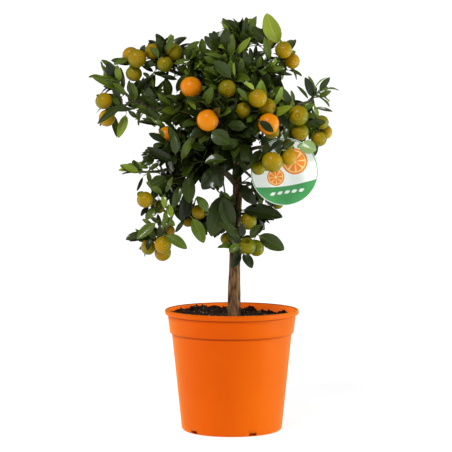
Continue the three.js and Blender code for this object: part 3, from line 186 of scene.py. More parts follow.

# The leaves of each mass that stand out in the front view: base, tip, width and tone. The tone is how light
# or dark each leaf looks, so besides the leaf's own colour it holds painted light and shade.
LEAVES_SEEN = {
    "left_high_outer": [((-144, -20, 525), (-164, -28, 517), 10, MIDDLE)],
    "left_far_top": [
        ((-166, -14, 496), (-174, -22, 520), 14, DEEP), ((-158, -16, 493), (-160, -24, 517), 10, LIGHT),
        ((-157, -18, 482), (-195, -24, 500), 10, MIDDLE), ((-165, -14, 482), (-180, -20, 487), 6, MIDDLE),
        ((-148, -22, 474), (-166, -28, 492), 10, MIDDLE), ((-157, -20, 470), (-167, -26, 485), 10, DARK),
        ((-152, -12, 481), (-156, -18, 514), 6, DARK),
    ],
    "left_far_low": [
        ((-145, -30, 464), (-187, -42, 435), 11, DARK), ((-148, -16, 450), (-159, -26, 415), 13, LIGHT),
        ((-168, -2, 450), (-162, -10, 416), 10, MIDDLE),
    ],
    "left_middle": [
        ((-136, -18, 465), (-141, -26, 493), 13, MIDDLE), ((-112, -4, 500), (-134, -12, 483), 10, DARK),
        ((-112, -22, 463), (-117, -28, 486), 13, DARK), ((-87, -24, 468), (-93, -30, 495), 13, DARK),
        ((-84, -32, 460), (-104, -36, 477), 8, MIDDLE), ((-115, -30, 444), (-92, -38, 430), 7, MIDDLE),
        ((-94, -22, 433), (-126, -28, 443), 6, DARK), ((-113, -20, 451), (-141, -28, 463), 7, MIDDLE),
        ((-103, -24, 443), (-134, -30, 454), 7, DARK), ((-100, -28, 457), (-120, -34, 470), 10, DARK),
        ((-120, -30, 457), (-100, -36, 439), 8, DARK), ((-133, -16, 460), (-112, -22, 447), 7, MIDDLE),
        ((-138, -10, 466), (-140, -16, 493), 11, MIDDLE), ((-108, -6, 468), (-122, -12, 492), 14, DEEP),
        ((-87, -4, 471), (-94, -10, 499), 13, DARK), ((-150, -4, 465), (-133, -8, 456), 6, DARK),
        ((-137, -14, 455), (-165, -18, 454), 7, DARK), ((-98, -10, 432), (-133, -16, 438), 7, DARK),
        ((-115, -16, 463), (-127, -20, 475), 10, DARK), ((-105, -22, 478), (-85, -26, 458), 8, MIDDLE),
        ((-144, -28, 477), (-143, -32, 496), 6, DARK), ((-132, -36, 443), (-144, -42, 453), 7, DARK),
    ],
    "left_high_inner": [
        ((-101, -36, 527), (-114, -44, 541), 11, MIDDLE), ((-110, -16, 524), (-120, -20, 511), 11, DARK),
        ((-96, -18, 532), (-104, -26, 556), 10, DARK), ((-92, -34, 535), (-81, -38, 558), 8, MIDDLE),
        ((-109, -14, 507), (-126, -20, 516), 7, DEEP), ((-114, -26, 500), (-124, -30, 506), 6, DARK),
    ],
    "left_inner": [
        ((-67, -14, 538), (-45, -20, 550), 8, MIDDLE), ((-82, -24, 519), (-58, -30, 524), 8, MIDDLE),
        ((-40, -18, 530), (-42, -24, 554), 11, MIDDLE), ((-78, -16, 478), (-66, -22, 504), 11, DARK),
        ((-85, -16, 499), (-110, -20, 506), 10, DEEP), ((-75, -20, 496), (-100, -26, 502), 7, DARK),
    ],
    "left_core": [
        ((-63, -62, 471), (-50, -66, 455), 8, LIGHT), ((-55, -56, 450), (-84, -64, 438), 12, DARK),
        ((-78, -50, 428), (-93, -56, 438), 6, DARK),
    ],
    "top_left": [
        ((-18, -34, 533), (-38, -42, 557), 13, DARK), ((-15, -28, 542), (-32, -34, 561), 13, DARK),
        ((-11, -38, 535), (-8, -46, 568), 13, DARK), ((-4, -36, 524), (1, -44, 559), 11, MIDDLE),
        ((-4, -16, 563), (-14, -22, 575), 6, LIGHT), ((-4, -50, 522), (-37, -54, 532), 7, MIDDLE),
    ],
    "top": [
        ((9, -16, 566), (-7, -22, 580), 9, DARK), ((17, -16, 555), (20, -22, 584), 8, DARK),
        ((23, -14, 555), (34, -20, 581), 10, MIDDLE), ((4, -30, 529), (26, -36, 555), 10, LIGHT),
        ((46, -16, 544), (28, -22, 570), 17, DARK), ((11, -40, 501), (14, -46, 526), 10, MIDDLE),
    ],
    "top_right": [
        ((66, -18, 544), (48, -24, 589), 24, YOUNG), ((38, -30, 508), (40, -36, 529), 8, MIDDLE),
        ((42, -14, 507), (34, -20, 538), 13, DARK), ((52, -30, 521), (45, -36, 556), 11, MIDDLE),
        ((56, -26, 515), (34, -30, 525), 10, DARK), ((56, -14, 507), (85, -20, 503), 6, DARK),
    ],
    "upper_core": [
        ((0, -84, 497), (-25, -92, 521), 18, DARK), ((4, -80, 500), (3, -84, 520), 4, LIGHT),
        ((-38, -82, 457), (-27, -88, 486), 14, MIDDLE),
    ],
    "upper_right": [
        ((42, -50, 507), (73, -58, 512), 10, MIDDLE), ((42, -48, 485), (52, -56, 503), 14, DARK),
        ((60, -40, 485), (67, -48, 504), 12, DEEP), ((32, -54, 483), (29, -60, 504), 11, DARK),
        ((22, -34, 506), (17, -40, 538), 11, DARK), ((29, -26, 520), (25, -30, 541), 7, DARK),
        ((32, -18, 524), (34, -22, 545), 6, DEEP),
    ],
    "right_inner": [
        ((31, -96, 482), (16, -100, 492), 7, YOUNG), ((22, -96, 467), (7, -102, 485), 9, MIDDLE),
        ((35, -108, 441), (56, -110, 425), 12, DEEP), ((61, -66, 453), (77, -72, 430), 12, DEEP),
    ],
    "right_tip": [
        ((114, -14, 470), (102, -20, 500), 12, DEEP), ((115, -10, 472), (107, -16, 502), 8, MIDDLE),
        ((122, -14, 481), (137, -20, 500), 9, DARK), ((121, -14, 472), (139, -20, 481), 8, MIDDLE),
        ((108, -12, 468), (91, -18, 488), 5, DARK), ((116, -18, 458), (141, -24, 452), 6, DARK),
        ((111, -16, 457), (98, -20, 464), 4, MIDDLE),
    ],
    "right": [
        ((81, -36, 458), (70, -44, 485), 10, DARK), ((85, -30, 464), (71, -34, 485), 6, DARK),
        ((87, -24, 464), (82, -28, 482), 6, MIDDLE),
    ],
    "right_outer": [
        ((103, -30, 431), (131, -36, 438), 13, DARK), ((91, -46, 405), (117, -52, 399), 22, PALE),
        ((121, -20, 444), (115, -24, 461), 6, LIGHT),
    ],
    "right_low": [
        ((74, -70, 433), (73, -76, 413), 8, DARK), ((70, -88, 415), (52, -96, 398), 12, DEEP),
        ((88, -78, 412), (67, -84, 401), 8, DARK), ((41, -74, 401), (25, -82, 378), 12, DARK),
        ((49, -70, 413), (43, -74, 386), 11, DARK), ((75, -64, 401), (68, -70, 381), 11, DEEP),
    ],
    "front": [((-29, -112, 428), (-3, -118, 409), 22, DARK)],
    "front_low": [
        ((20, -100, 432), (-6, -106, 434), 15, DARK), ((11, -98, 414), (-14, -104, 401), 15, DARK),
        ((21, -80, 412), (14, -88, 385), 14, DARK), ((15, -34, 382), (3, -38, 357), 14, DEEP),
        ((3, -34, 390), (-10, -38, 369), 14, DEEP),
    ],
    "low_left_top": [
        ((-88, -78, 411), (-114, -84, 423), 11, DEEP), ((-93, -82, 416), (-101, -86, 429), 7, MIDDLE),
        ((-70, -84, 399), (-87, -90, 433), 12, DARK), ((-76, -72, 383), (-117, -80, 404), 12, DEEP),
        ((-77, -92, 393), (-79, -98, 421), 12, DARK), ((-70, -72, 383), (-49, -80, 422), 12, MIDDLE),
        ((-107, -40, 389), (-126, -46, 377), 13, DARK),
    ],
    "low_left_tip": [
        ((-129, -28, 368), (-153, -34, 378), 10, LIGHT), ((-130, -24, 369), (-138, -30, 385), 6, DARK),
        ((-115, -26, 379), (-132, -32, 380), 6, LIGHT), ((-124, -26, 362), (-133, -32, 341), 5, DEEP),
    ],
    "low_left": [
        ((-59, -60, 366), (-59, -68, 326), 19, DARK), ((-91, -56, 363), (-113, -64, 350), 15, DARK),
        ((-112, -30, 380), (-125, -36, 389), 10, DARK), ((-71, -50, 352), (-82, -58, 319), 12, DARK),
        ((-117, -30, 370), (-100, -34, 382), 7, MIDDLE), ((-85, -44, 363), (-103, -50, 348), 15, DARK),
        ((-104, -44, 338), (-117, -48, 356), 10, MIDDLE), ((-115, -44, 374), (-129, -50, 377), 6, MIDDLE),
    ],
    "core_low": [
        ((-14, -76, 378), (-41, -84, 346), 25, DEEP), ((-26, -96, 386), (-15, -104, 349), 19, DEEP),
        ((-8, -110, 388), (-37, -114, 383), 16, DARK), ((-34, -80, 400), (-57, -88, 406), 12, DARK),
    ],
    "hanging_top": [
        ((-96, -46, 336), (-119, -52, 355), 10, MIDDLE), ((-92, -46, 338), (-82, -52, 362), 7, MIDDLE),
        ((-94, -50, 338), (-94, -56, 319), 8, LIGHT), ((-107, -40, 318), (-119, -48, 303), 11, MIDDLE),
        ((-116, -30, 320), (-127, -36, 306), 8, DEEP), ((-97, -44, 339), (-92, -50, 318), 8, MIDDLE),
        ((-106, -36, 320), (-120, -42, 301), 11, DARK), ((-103, -34, 348), (-112, -38, 330), 11, DARK),
        ((-92, -36, 354), (-100, -42, 333), 13, DARK), ((-109, -30, 324), (-109, -34, 306), 10, MIDDLE),
        ((-101, -32, 331), (-103, -36, 312), 10, DARK), ((-102, -18, 322), (-114, -22, 331), 6, DARK),
        ((-115, -22, 351), (-117, -28, 369), 7, MIDDLE),
    ],
    "hanging_foot": [
        ((-89, -46, 325), (-83, -52, 306), 10, LIGHT), ((-96, -48, 307), (-79, -54, 294), 10, MIDDLE),
        ((-111, -44, 296), (-125, -50, 303), 6, MIDDLE), ((-104, -48, 299), (-132, -56, 276), 15, MIDDLE),
        ((-129, -34, 285), (-148, -40, 276), 6, DARK), ((-94, -62, 282), (-62, -68, 263), 15, MIDDLE),
        ((-113, -50, 278), (-117, -56, 259), 8, DEEP), ((-94, -50, 314), (-90, -54, 299), 7, MIDDLE),
        ((-100, -40, 295), (-103, -44, 276), 8, DARK), ((-100, -20, 289), (-104, -24, 309), 7, DARK),
        ((-101, -32, 295), (-114, -38, 305), 7, MIDDLE), ((-96, -60, 290), (-94, -64, 308), 6, MIDDLE),
    ],
    "hanging_inner": [
        ((-66, -36, 301), (-79, -42, 284), 7, DARK), ((-64, -34, 345), (-71, -40, 298), 14, DEEP),
        ((-61, -30, 342), (-62, -36, 305), 15, DEEP), ((-56, -46, 306), (-39, -54, 270), 19, MIDDLE),
        ((-33, -46, 311), (-49, -52, 335), 14, MIDDLE), ((-75, -28, 342), (-85, -34, 320), 14, DEEP),
        ((-64, -24, 338), (-68, -30, 298), 17, DEEP), ((-80, -18, 324), (-71, -24, 299), 14, DARK),
        ((-79, -10, 328), (-86, -14, 305), 11, DEEP),
    ],
    "trunk_left": [
        ((-12, -34, 340), (-29, -40, 278), 30, DARK), ((-14, -48, 336), (1, -52, 290), 22, DARK),
        ((11, -58, 278), (-18, -64, 299), 14, DARK),
    ],
    "trunk_right": [((11, -34, 315), (71, -40, 305), 26, DEEP)],
    "right_under": [((10, -30, 352), (34, -38, 323), 17, DEEP), ((28, -20, 364), (44, -28, 327), 18, DARK)],
    "trunk_foot": [
        ((35, -40, 281), (73, -46, 260), 22, DARK), ((11, -60, 270), (-4, -64, 258), 11, MIDDLE),
        ((11, -44, 259), (0, -50, 235), 13, DEEP), ((15, -52, 257), (28, -58, 235), 14, DEEP),
        ((14, -66, 278), (15, -70, 299), 10, DEEP), ((25, -62, 276), (40, -68, 296), 14, DARK),
        ((11, -50, 266), (-8, -56, 287), 13, DARK), ((15, -56, 258), (-4, -60, 266), 7, DARK),
        ((16, -20, 277), (0, -26, 292), 11, DEEP), ((28, -24, 278), (44, -30, 292), 11, DEEP),
    ],
}

# Where the view from the front is open, or shows the bare trunk: (x, z, half width, half height), from the
# top down.
OPENINGS = [
    (12, 602, 42, 13), (61, 602, 20, 11), (-3, 592, 11, 6), (20, 592, 11, 5), (30, 590, 6, 6),
    (57, 588, 20, 17), (-8, 587, 6, 6), (7, 587, 7, 6), (39, 581, 4, 11), (-39, 580, 20, 13),
    (-20, 571, 4, 9), (80, 571, 10, 20), (-73, 570, 16, 13), (-51, 568, 13, 11), (-93, 565, 7, 11),
    (-114, 563, 7, 11), (-136, 561, 21, 11), (-56, 558, 6, 9), (-35, 550, 6, 11), (-37, 547, 4, 13),
    (46, 547, 4, 7), (101, 547, 13, 20), (-178, 546, 24, 21), (-38, 546, 6, 11), (28, 534, 4, 12),
    (112, 517, 28, 11), (-195, 516, 11, 11), (-185, 507, 6, 4), (-121, 507, 3, 3), (126, 506, 14, 7),
    (78, 500, 7, 4), (-151, 499, 4, 20), (-102, 495, 3, 5), (119, 494, 4, 7), (84, 493, 7, 9),
    (77, 492, 6, 10), (140, 492, 6, 7), (-202, 489, 6, 9), (-187, 487, 7, 7), (-78, 487, 7, 13),
    (104, 480, 8, 11), (92, 479, 8, 11), (-127, 477, 3, 5), (84, 476, 4, 9), (140, 475, 8, 6),
    (101, 469, 6, 6), (123, 466, 4, 4), (148, 465, 7, 9), (-201, 462, 7, 28), (119, 452, 6, 5),
    (128, 450, 6, 4), (-161, 445, 5, 9), (-195, 439, 4, 7), (150, 435, 10, 20), (-127, 421, 25, 11),
    (-36, 419, 4, 6), (-188, 411, 18, 17), (-110, 411, 6, 4), (-121, 404, 6, 7), (-147, 402, 21, 20),
    (34, 400, 5, 9), (135, 389, 13, 16), (-110, 365, 9, 11), (21, 360, 5, 9), (-138, 358, 6, 6),
    (-8, 353, 5, 18), (-49, 345, 6, 6), (-153, 341, 16, 20), (-38, 337, 14, 9), (14, 333, 4, 16),
    (22, 327, 7, 6), (-35, 323, 6, 9), (51, 313, 7, 6), (-126, 309, 4, 6), (-144, 306, 10, 20),
    (85, 304, 11, 16), (-72, 300, 4, 6), (70, 296, 6, 6), (60, 286, 14, 7), (-144, 282, 7, 4),
    (-55, 279, 8, 13), (-143, 260, 8, 7), (-76, 253, 8, 6), (-136, 250, 6, 7), (-42, 248, 18, 17),
    (-11, 239, 8, 17), (48, 236, 14, 17), (14, 235, 4, 10), (26, 231, 8, 11), (4, 213, 14, 20),
]

# Thin shoots without leaves that show in front of the trunk: foot, tip, radii and bend.
SHOOTS = [((5, -5, 284), (-14, -16, 368), (1.5, 1.2), (-5, -10, -4))]
SHOOT_STEPS = 12

# ---------------------------------------------------------------- sizes of the finer growth, in mm

SEED = 101
SEED_STEP = 37                       # from one mass's seed to the next
GOLDEN = math.pi * (3 - math.sqrt(5))
# What the face of a leaf turns to: along its twig, out of the crown, up, at random, and to the view.
FACING = Sizes(lean=0.4, outward=0.45, up=0.7, sway=1.4, forward=0.45)
BACK_FROM = 30                       # what lies further back than this isn't seen from the front
STALK_END = 1                        # how far the stalk reaches into its fruit
LIMB_STEPS = 4                       # straight runs for each row of a limb, for what keeps clear of it
STEM = (2.3, 1.3)                    # radius of a mass's stem at its foot and its end
TWIG = Sizes(radius=(1.1, 0.8), reach=(0.2, 0.5), root_shares=(0.3, 0.95), spare_shares=(0.4, 0.8),
             leaves=5, first=0.3, lift=0.10, sway=0.07, shortest=8, sides=5)
FINE = Sizes(radius=(0.8, 0.5), reach=(0.3, 0.5), room=0.6, at=(0.5, 0.85), leaves=4, first=0.3, turn=0.9)
STALK = Sizes(radius=(0.9, 0.75), toward=0.3, sag=0.12, steps=6, leaves=3, first=0.45)
OUTLINE = Sizes(lengths=(36, 58), slender=0.3, root_room=6, leaves=4, first=0.4)
SPREAD = (1.2, 0.3)                  # angle between leaf and twig, from the twig's first leaf to its last
TWIG_CORE = (0.1, 0.95)              # the part of a twig that no leaf may cross
AWAY = Sizes(middle=(0, 0, 425), share=0.4)      # leaves lean away from the middle of the tree
LEAF = Sizes(lengths=(34, 60), shortest=19, wide=(0.30, 0.41), end_share=0.85, over=1.16, room=0.98,
             turn=(0.85, 1.15), spread=(0.8, 1.2), narrowing=0.4)
# The flat shape that a leaf is tested by: where its blade starts, is widest and narrows again, and the
# width there, with how far the blade rises off its line, all as shares.
TEST_BLADE = Sizes(start=0.14, near=0.4, far=0.75, far_width=0.8, rise=0.05)
LEAVES = Sizes(count=66, size=36, scales=(0.6, 1.1), twigs=150, single=60, fewest=2)
SPARSE = {"right_tip": 0.35, "low_left_tip": 0.3, "left_far_low": 0.4, "left_high_outer": 0.4,
          "right_outer": 0.5, "trunk_right": 0.35, "hanging_foot": 0.5, "left_far_top": 0.6}
# Leaves that stand out: their facing and its sway, the bend of their twigs, how near an outline leaf may
# lie without being one grown twice, and the discs along them that stay uncovered.
SEEN = Sizes(facing=(0, -1, 0.4), sway=0.5, bend=-0.1, near=12, disc_shares=(0.4, 0.6, 0.8), disc=0.4)

WOOD_GAP = 0.8
FRUIT_GAP = 0.8
TAG_GAP = 2.0
TAG_SHOWN = Sizes(below=4, right_of=18)      # nothing else hangs before the tag in these parts of it
TIE_ROOM = Sizes(below=4, beside=3, depth=6)    # kept free round the tag's tab and its tie
HIDES = 0.78                         # a leaf in front of a fruit stays out of this share of its disc
IN_FRONT = 1                         # what is nearer by more than this hides what is behind it
NEAR = Sizes(wood=40, fruit=20, discs=30)       # what a mass's leaves can reach, beyond its own space

# ---------------------------------------------------------------- sizes of the looks, in mm

MIDDLE_PART = (-50, 38)              # the middle part of the crown lies between these, from left to right
LEAF_MESH = Sizes(rows=(0, 0.09, 0.13, 0.2, 0.31, 0.45, 0.59, 0.72, 0.84, 0.92, 0.97), columns=6,
                  rib=0.06, widest_rib=0.6, thick=0.35)
PETIOLE = Sizes(long=0.1, wide=0.07)            # a leaf's stalk, as shares of its length and width
BLADE = Sizes(foot=0.62, tip=0.72)              # powers that round the blade off towards its two ends
# Bends of each leaf, drawn at random between these: its arch, fold, waves along the rim, sway and twist.
BENDS = Sizes(arch=(0.02, 0.13), fold=(0.12, 0.45), sink=0.1, sway=0.03, twist=0.5, twist_from=0.35,
              wave=1 / 36, waves=(1.5, 3.2), wave_offset=1.5)

FRUIT_AROUND = 40
FRUIT_DOWN = 22
PEEL = Sizes(oblate=0.93, dimple=0.06, dimple_width=0.26, ring_at=0.3, ring_width=0.07, ring_rise=0.016,
             pores=0.008, pore_scale=6, pore_step=7)
# How ripeness varies over a fruit: towards the sun, in patches, and less where the fruit is ripe.
PATCHES = Sizes(sunny=0.2, mottle=0.06, scale=1.9, step=3, ripe_from=0.95, when_ripe=0.3)
EYE_SHADES = (0.14, -0.16, 0.1)      # how much riper the peel looks in the rows from the eye outwards
CALYX = Sizes(points=10, reach=(3.0, 1.5), drop=(0.25, -0.2), rise=1.6, depth=0.8)

UPRIGHT = 0.8                        # tubes this steep start their sections towards +X, and others upwards
TRUNK_SIDES = 56
TRUNK_ROWS = 300
TRUNK_FOOT = 3                       # how much deeper in the compost the trunk starts than the solid
# The foot's flare: its height and lobes are the solid's, and it is drawn in where that one is too full.
FLARE = Sizes(height=22, trim=-0.2, lobes=5, lobe_depth=0.05, turn=0.7)
# The bark's relief as shares of the radius: cracks that run up the trunk, weaker above, and lumps.
BARK = Sizes(scale=0.98, fissure=0.07, fissure_turns=3.2, fissure_stretch=0.028, crack=2.2, crack_width=0.3,
             swell=(0.6, 0.5), lumps=0.05, lump_turns=1.2, lump_stretch=0.045, smooth_from=250,
             smooth_to=330, smoothing=0.55)
# Knots on the trunk: height, angle round it, size, and how tall.
KNOTS = [(284, 1.1, 2.6, 5), (236, 4.4, 2.0, 6), (336, 2.6, 1.4, 4), (205, 5.6, 1.6, 7)]
KNOT = Sizes(rise=0.1, angle=0.45)
BOUGH_SAMPLES = 400                  # for finding where the tag's tie goes over its bough
BOUGH = Sizes(rows=60, sides=14, collar=0.35, collar_share=0.05, along=0.06,
              relief=((1.4, 0.09), (4, 0.04)))

POT_SEGMENTS = 144
POT_DISH = Sizes(depth=1.2, radius=40, edge=44)        # the hollow under the pot's foot
POT_SHADE_BAND = Sizes(height=1.7, over=0.3)        # painted shade: the dark bands under the collar and the rim
POT_BEAD = 2.2                       # radius of the rim's rolled edge
# Steps in each part of the pot's section. Those of the collar are shares of its height.
POT_STEPS = Sizes(corner=7, body=12, collar=(0.3, 0.6, 0.98), bead=(5, 6))
BODY_FROM = 12                       # where the straight part of the body starts
BODY_RUN = 2                         # and how far below the collar its slope is measured to
# The rim's inner edge, as (how far in from the collar's top, how far down), and the slopes inside the wall.
POT_LIP = [(0.2, 0.1), (1.4, 0.9)]
POT_INSIDE = Sizes(top=3, collar=3, corner=1)
# The step out to the collar, as offsets from the radius of the body and of the collar, and from its foot.
BODY_STEP = [(0, -2.2), (0.6, -1)]
COLLAR_STEP = [(-0.7, -0.3), (0, 0.6)]
DRAIN = Sizes(count=5, wide=12, deep=14, foot=1.2, top=5.4, turn=-1.148, round=1.2)
# The compost's top: how it leaves its flat middle, tilts and ends at the wall, with fine crumbs, long
# waves, and heaps as rows of (x, y, rise, spread).
SOIL_LOOK = Sizes(slope=14, tilt=-0.03, edge_level=162, edge_from=40, crumbs=2.0, crumb_scale=0.09,
                  crumb_slice=0.3, octaves=4, rings=46, sectors=120, gap=0.4, depth=2)
SOIL_WAVES = Sizes(x=0.13, shift=1.1, y=0.11, slant=0.21, slant_rise=0.6)     # the solid's own
HEAPS = [(-60, 58, 4.5, 14), (-34, 72, 3, 20), (10, 74, 3, 22), (80, 30, 2, 12), (-84, 12, 3, 18),
         (-30, -20, 2, 20)]
CRUMBS = Sizes(count=1500, sizes=(0.7, 2.6), corners=(0.6, 1.3), axes=(0.7, 1.2), inmost=0.02, edge=4,
               kinds=(0.55, 0.38, 0.07), rise=0.2, trunk=(3, 14))
FIBRES = Sizes(count=26, inmost=0.03, within=80, reach=12, bend=4, rise=0.9, radii=(0.45, 0.25), edge=5,
               steps=6, sides=5)

# The card hangs askew. Its print lies on it in layers of thin plates, this far inside its edge.
CARD = Sizes(steps=96, tab_corner=2, askew=math.radians(8))
INK = Sizes(lift=0.06, thick=0.05, edge=0.8)
# The card's print: a ring, a foot with a wavy top, cut fruit as (centre, radius), and leaves as (base,
# length, width, turn, colour).
FOOT_PRINT = Sizes(left=math.radians(200), right=math.radians(340), wave=4.5, steps=(48, 24))
RING_PRINT = Sizes(width=1, steps=72)
WHEEL_PRINTS = [((16, 12), 18), ((-13, -6), 12)]
WHEEL = Sizes(flesh=0.86, wedge=(0.14, 0.78), gap=0.09, wedges=8, wedge_steps=8, steps=48)
LEAF_PRINTS = [((19, 30), 14, 6, 2.6, "leaf"), ((22, 30), 13, 6, 0.5, "leaf"),
               ((-22, 4), 12, 5.5, 2.4, "leaf")]
LEAF_PRINTS += [((x - 4.5, -30), 9, 4.4, 0.3, "white") for x in (-20, -10, 0, 10, 20)]
LEAF_PRINT_STEPS = 10

# ---------------------------------------------------------------- finishes

# Tones of a spray's leaves, each an upper face, a midrib and an underside. From deep to light, the tones
# stand partly for the leaves' own colour and partly for painted light and shade.
TONES = [
    ("deep", (26, 35, 7), (38, 49, 15), (54, 62, 26)),
    ("dark", (44, 56, 12), (58, 71, 22), (70, 80, 34)),
    ("middle", (74, 90, 20), (92, 108, 36), (90, 104, 44)),
    ("light", (112, 130, 34), (132, 148, 60), (120, 136, 60)),
    ("young", (134, 147, 38), (154, 165, 70), (140, 152, 60)),
    ("pale", (138, 164, 104), (156, 180, 124), (138, 160, 112)),
]
# How many sprays in each tone: as a rule, in the sunny masses, and in the shaded ones. The lighter tones of
# the sunny masses are painted light, and the deep ones of the shaded masses painted shade.
TONE_SHARES = (0.32, 0.38, 0.22, 0.07, 0.01)
SUNNY_SHARES = (0.06, 0.26, 0.46, 0.20, 0.02)
SHADED_SHARES = (0.62, 0.33, 0.05, 0, 0)
SUNNY = ("top", "top_left", "top_outer", "upper_right", "upper_core", "right", "right_tip", "right_outer",
         "right_inner", "left_inner", "left_middle", "left_far_top", "low_left_tip")
SHADED = ("front", "front_low", "core_low", "low_left_top", "low_left", "trunk_left", "trunk_right")
# The peel's colours from green to orange, and the number of steps in which they are dealt out.
RIPENESS = [(0, (78, 85, 0)), (0.2, (101, 99, 0)), (0.4, (128, 110, 0)), (0.6, (159, 121, 0)),
            (0.8, (187, 124, 0)), (1, (208, 120, 0))]
RIPE_STEPS = 16
NOISE_DETAIL = 6
PLASTIC = dict(scale=9, bump=0.12, bump_scale=900, bump_depth=0.0002, specular=0.05)
INKS = {"green": (62, 150, 80), "orange": (238, 130, 22), "flesh": (250, 214, 140),
        "leaf": (70, 130, 60), "white": (240, 243, 236)}
WHITE = (1, 1, 1, 1)

# ---------------------------------------------------------------- floor, light and camera, in metres

FLOOR = Sizes(size=60, level=-0.0004, colour=(160, 160, 160), roughness=0.9, specular=0.1, glow=0.8)
WORLD = Sizes(seen=1.05, light=0.24)            # how bright the world looks, and how bright it lights
SUN = Sizes(place=(-0.5, -1.15, 1.25), strength=2.3, spread=0.3)
LAMP_AIM = 0.35                      # lamps point at the plant's axis, no higher than this
# Area lamps: name, place, size, power and colour.
LAMPS = [
    ("fill", (1.9, -1.9, 1.0), 1.6, 8, (1, 1, 1)),
    ("left", (-2.0, 0.3, 0.7), 1.2, 12, (1, 1, 1)),
    ("right", (2.0, 0.2, 0.7), 1.2, 16, (1, 1, 1)),
    ("pot_left", (-0.8, -0.1, 0.08), 0.3, 1.0, (1, 1, 1)),
    ("pot_right", (0.8, -0.15, 0.08), 0.3, 5.5, (0.6, 1, 0.8)),
]
EYE = np.array((-8.24, -2756.7, 475.1))         # the camera's place, in mm, since growth is tested by it
PITCH = 0.067                        # how far the camera looks down, in radians
FOCAL = 155.4
SENSOR = 36
CLIP = (0.1, 100)

# ---------------------------------------------------------------- small helpers


def unit(v):
    v = np.asarray(v, float)
    return v / norm(v)


def mix(a, b, share):
    return a + (b - a) * share


def smooth(value, low, high):
    t = np.clip((value - low) / (high - low), 0, 1)
    return t * t * (3 - 2 * t)


def seeded(seed):
    """A repeatable source of numbers from 0 to 1, the one that the solids are grown by."""
    mask = 0xFFFFFFFF
    state = seed & mask

    def draw():
        nonlocal state
        state = (state + 0x6D2B79F5) & mask
        t = ((state ^ (state >> 15)) * (state | 1)) & mask
        t ^= (t + (t ^ (t >> 7)) * (t | 61)) & mask
        return ((t ^ (t >> 14)) & mask) / 2**32

    return draw


def limb_line(rows, shares):
    """Points and radii along a limb, by the same Catmull-Rom curve as the solids."""
    rows = np.array(rows, float)
    place = np.clip(np.asarray(shares, float) * (len(rows) - 1), 0, len(rows) - 1 - 1e-9)
    i = place.astype(int)
    t = (place - i)[:, None]
    points = np.vstack([2 * rows[0] - rows[1], rows, 2 * rows[-1] - rows[-2]])[:, :3]
    p0, p1, p2, p3 = (points[i + k] for k in range(4))
    m1, m2 = (p2 - p0) / 2, (p3 - p1) / 2
    middle = ((2 * t**3 - 3 * t**2 + 1) * p1 + (t**3 - 2 * t**2 + t) * m1
              + (3 * t**2 - 2 * t**3) * p2 + (t**3 - t**2) * m2)
    return middle, mix(rows[i, 3], rows[np.minimum(i + 1, len(rows) - 1), 3], t[:, 0])


def nearest_on_run(point, a, b):
    """The share along each run a-b that lies nearest to a point, and that nearest point."""
    run = b - a
    share = np.clip(((point - a) * run).sum(-1) / np.maximum((run * run).sum(-1), 1e-9), 0, 1)
    return share, a + run * share[..., None]


def bent(a, b, middle_offset, steps):
    """A line from a to b, bent towards a point that lies off the middle."""
    t = np.linspace(0, 1, steps + 1)[:, None]
    control = (a + b) / 2 + middle_offset
    return (1 - t) ** 2 * a + 2 * t * (1 - t) * control + t**2 * b


def any_perpendicular(along):
    start = np.array((0.36, -0.48, 0.8))
    return unit(np.cross(start, along))


def frame_about(axis):
    """Two directions across an axis."""
    across = any_perpendicular(axis)
    return across, np.cross(axis, across)


def turned_about(v, axis, angle):
    return (v * math.cos(angle) + np.cross(axis, v) * math.sin(angle)
            + axis * np.dot(axis, v) * (1 - math.cos(angle)))


def turned_flat(points, angle, centre=(0, 0)):
    """Flat points turned about (0, 0), and then moved."""
    cos, sin = math.cos(angle), math.sin(angle)
    return [(centre[0] + x * cos - y * sin, centre[1] + x * sin + y * cos) for x, y in points]


def arc(centre, radius, start, end, steps):
    """Flat points along part of a circle."""
    return [(centre[0] + radius * math.cos(a), centre[1] + radius * math.sin(a))
            for a in np.linspace(start, end, steps)]


def circle(centre, radius, steps):
    return arc(centre, radius, 0, 2 * math.pi, steps + 1)[:-1]


def angles_round(count):
    return np.arange(count) * 2 * math.pi / count


# ---------------------------------------------------------------- meshes and materials


def make_piece(name, points, faces, materials, looks=None, slot=None, sharp=None, flat=False):
    """A mesh in metres from points in millimetres, riding on the plant's one body.

    `looks` gives each face its material's place in the list."""
    mesh = bpy.data.meshes.new(name)
    mesh.from_pydata(np.asarray(points, float) * MM, [], [tuple(face) for face in faces])
    for material in materials:
        mesh.materials.append(material)
    if looks is not None:
        mesh.polygons.foreach_set("material_index", np.asarray(looks, np.int32))
    mesh.polygons.foreach_set("use_smooth", np.full(len(mesh.polygons), not flat))
    if sharp is not None:
        mark_sharp(mesh, sharp)
    mesh.update()
    piece = bpy.data.objects.new(name, mesh)
    bpy.context.scene.collection.objects.link(piece)
    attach(piece, "root")
    return piece


def mark_sharp(mesh, on_rim):
    """Edges between two rim points keep a crease."""
    ends = np.zeros(len(mesh.edges) * 2, np.int32)
    mesh.edges.foreach_get("vertices", ends)
    creased = np.asarray(on_rim)[ends.reshape(-1, 2)].all(axis=1)
    attribute = mesh.attributes.new("sharp_edge", "BOOLEAN", "EDGE")
    attribute.data.foreach_set("value", creased)


def linear(colour):
    """An sRGB colour of three numbers to 255, as Blender's linear colour."""
    c = np.asarray(colour, float) / 255
    return (*np.where(c <= 0.04045, c / 12.92, ((c + 0.055) / 1.055) ** 2.4), 1)


def feed(tree, node, **inputs):
    """Sets a node's inputs, named with _ for a space, each to a value or from another node's output."""
    for name, value in inputs.items():
        socket = node.inputs[name.replace("_", " ")]
        if isinstance(value, bpy.types.NodeSocket):
            tree.links.new(value, socket)
        else:
            socket.default_value = value
    return node


def add_node(tree, kind, **inputs):
    return feed(tree, tree.nodes.new(f"ShaderNode{kind}"), **inputs)


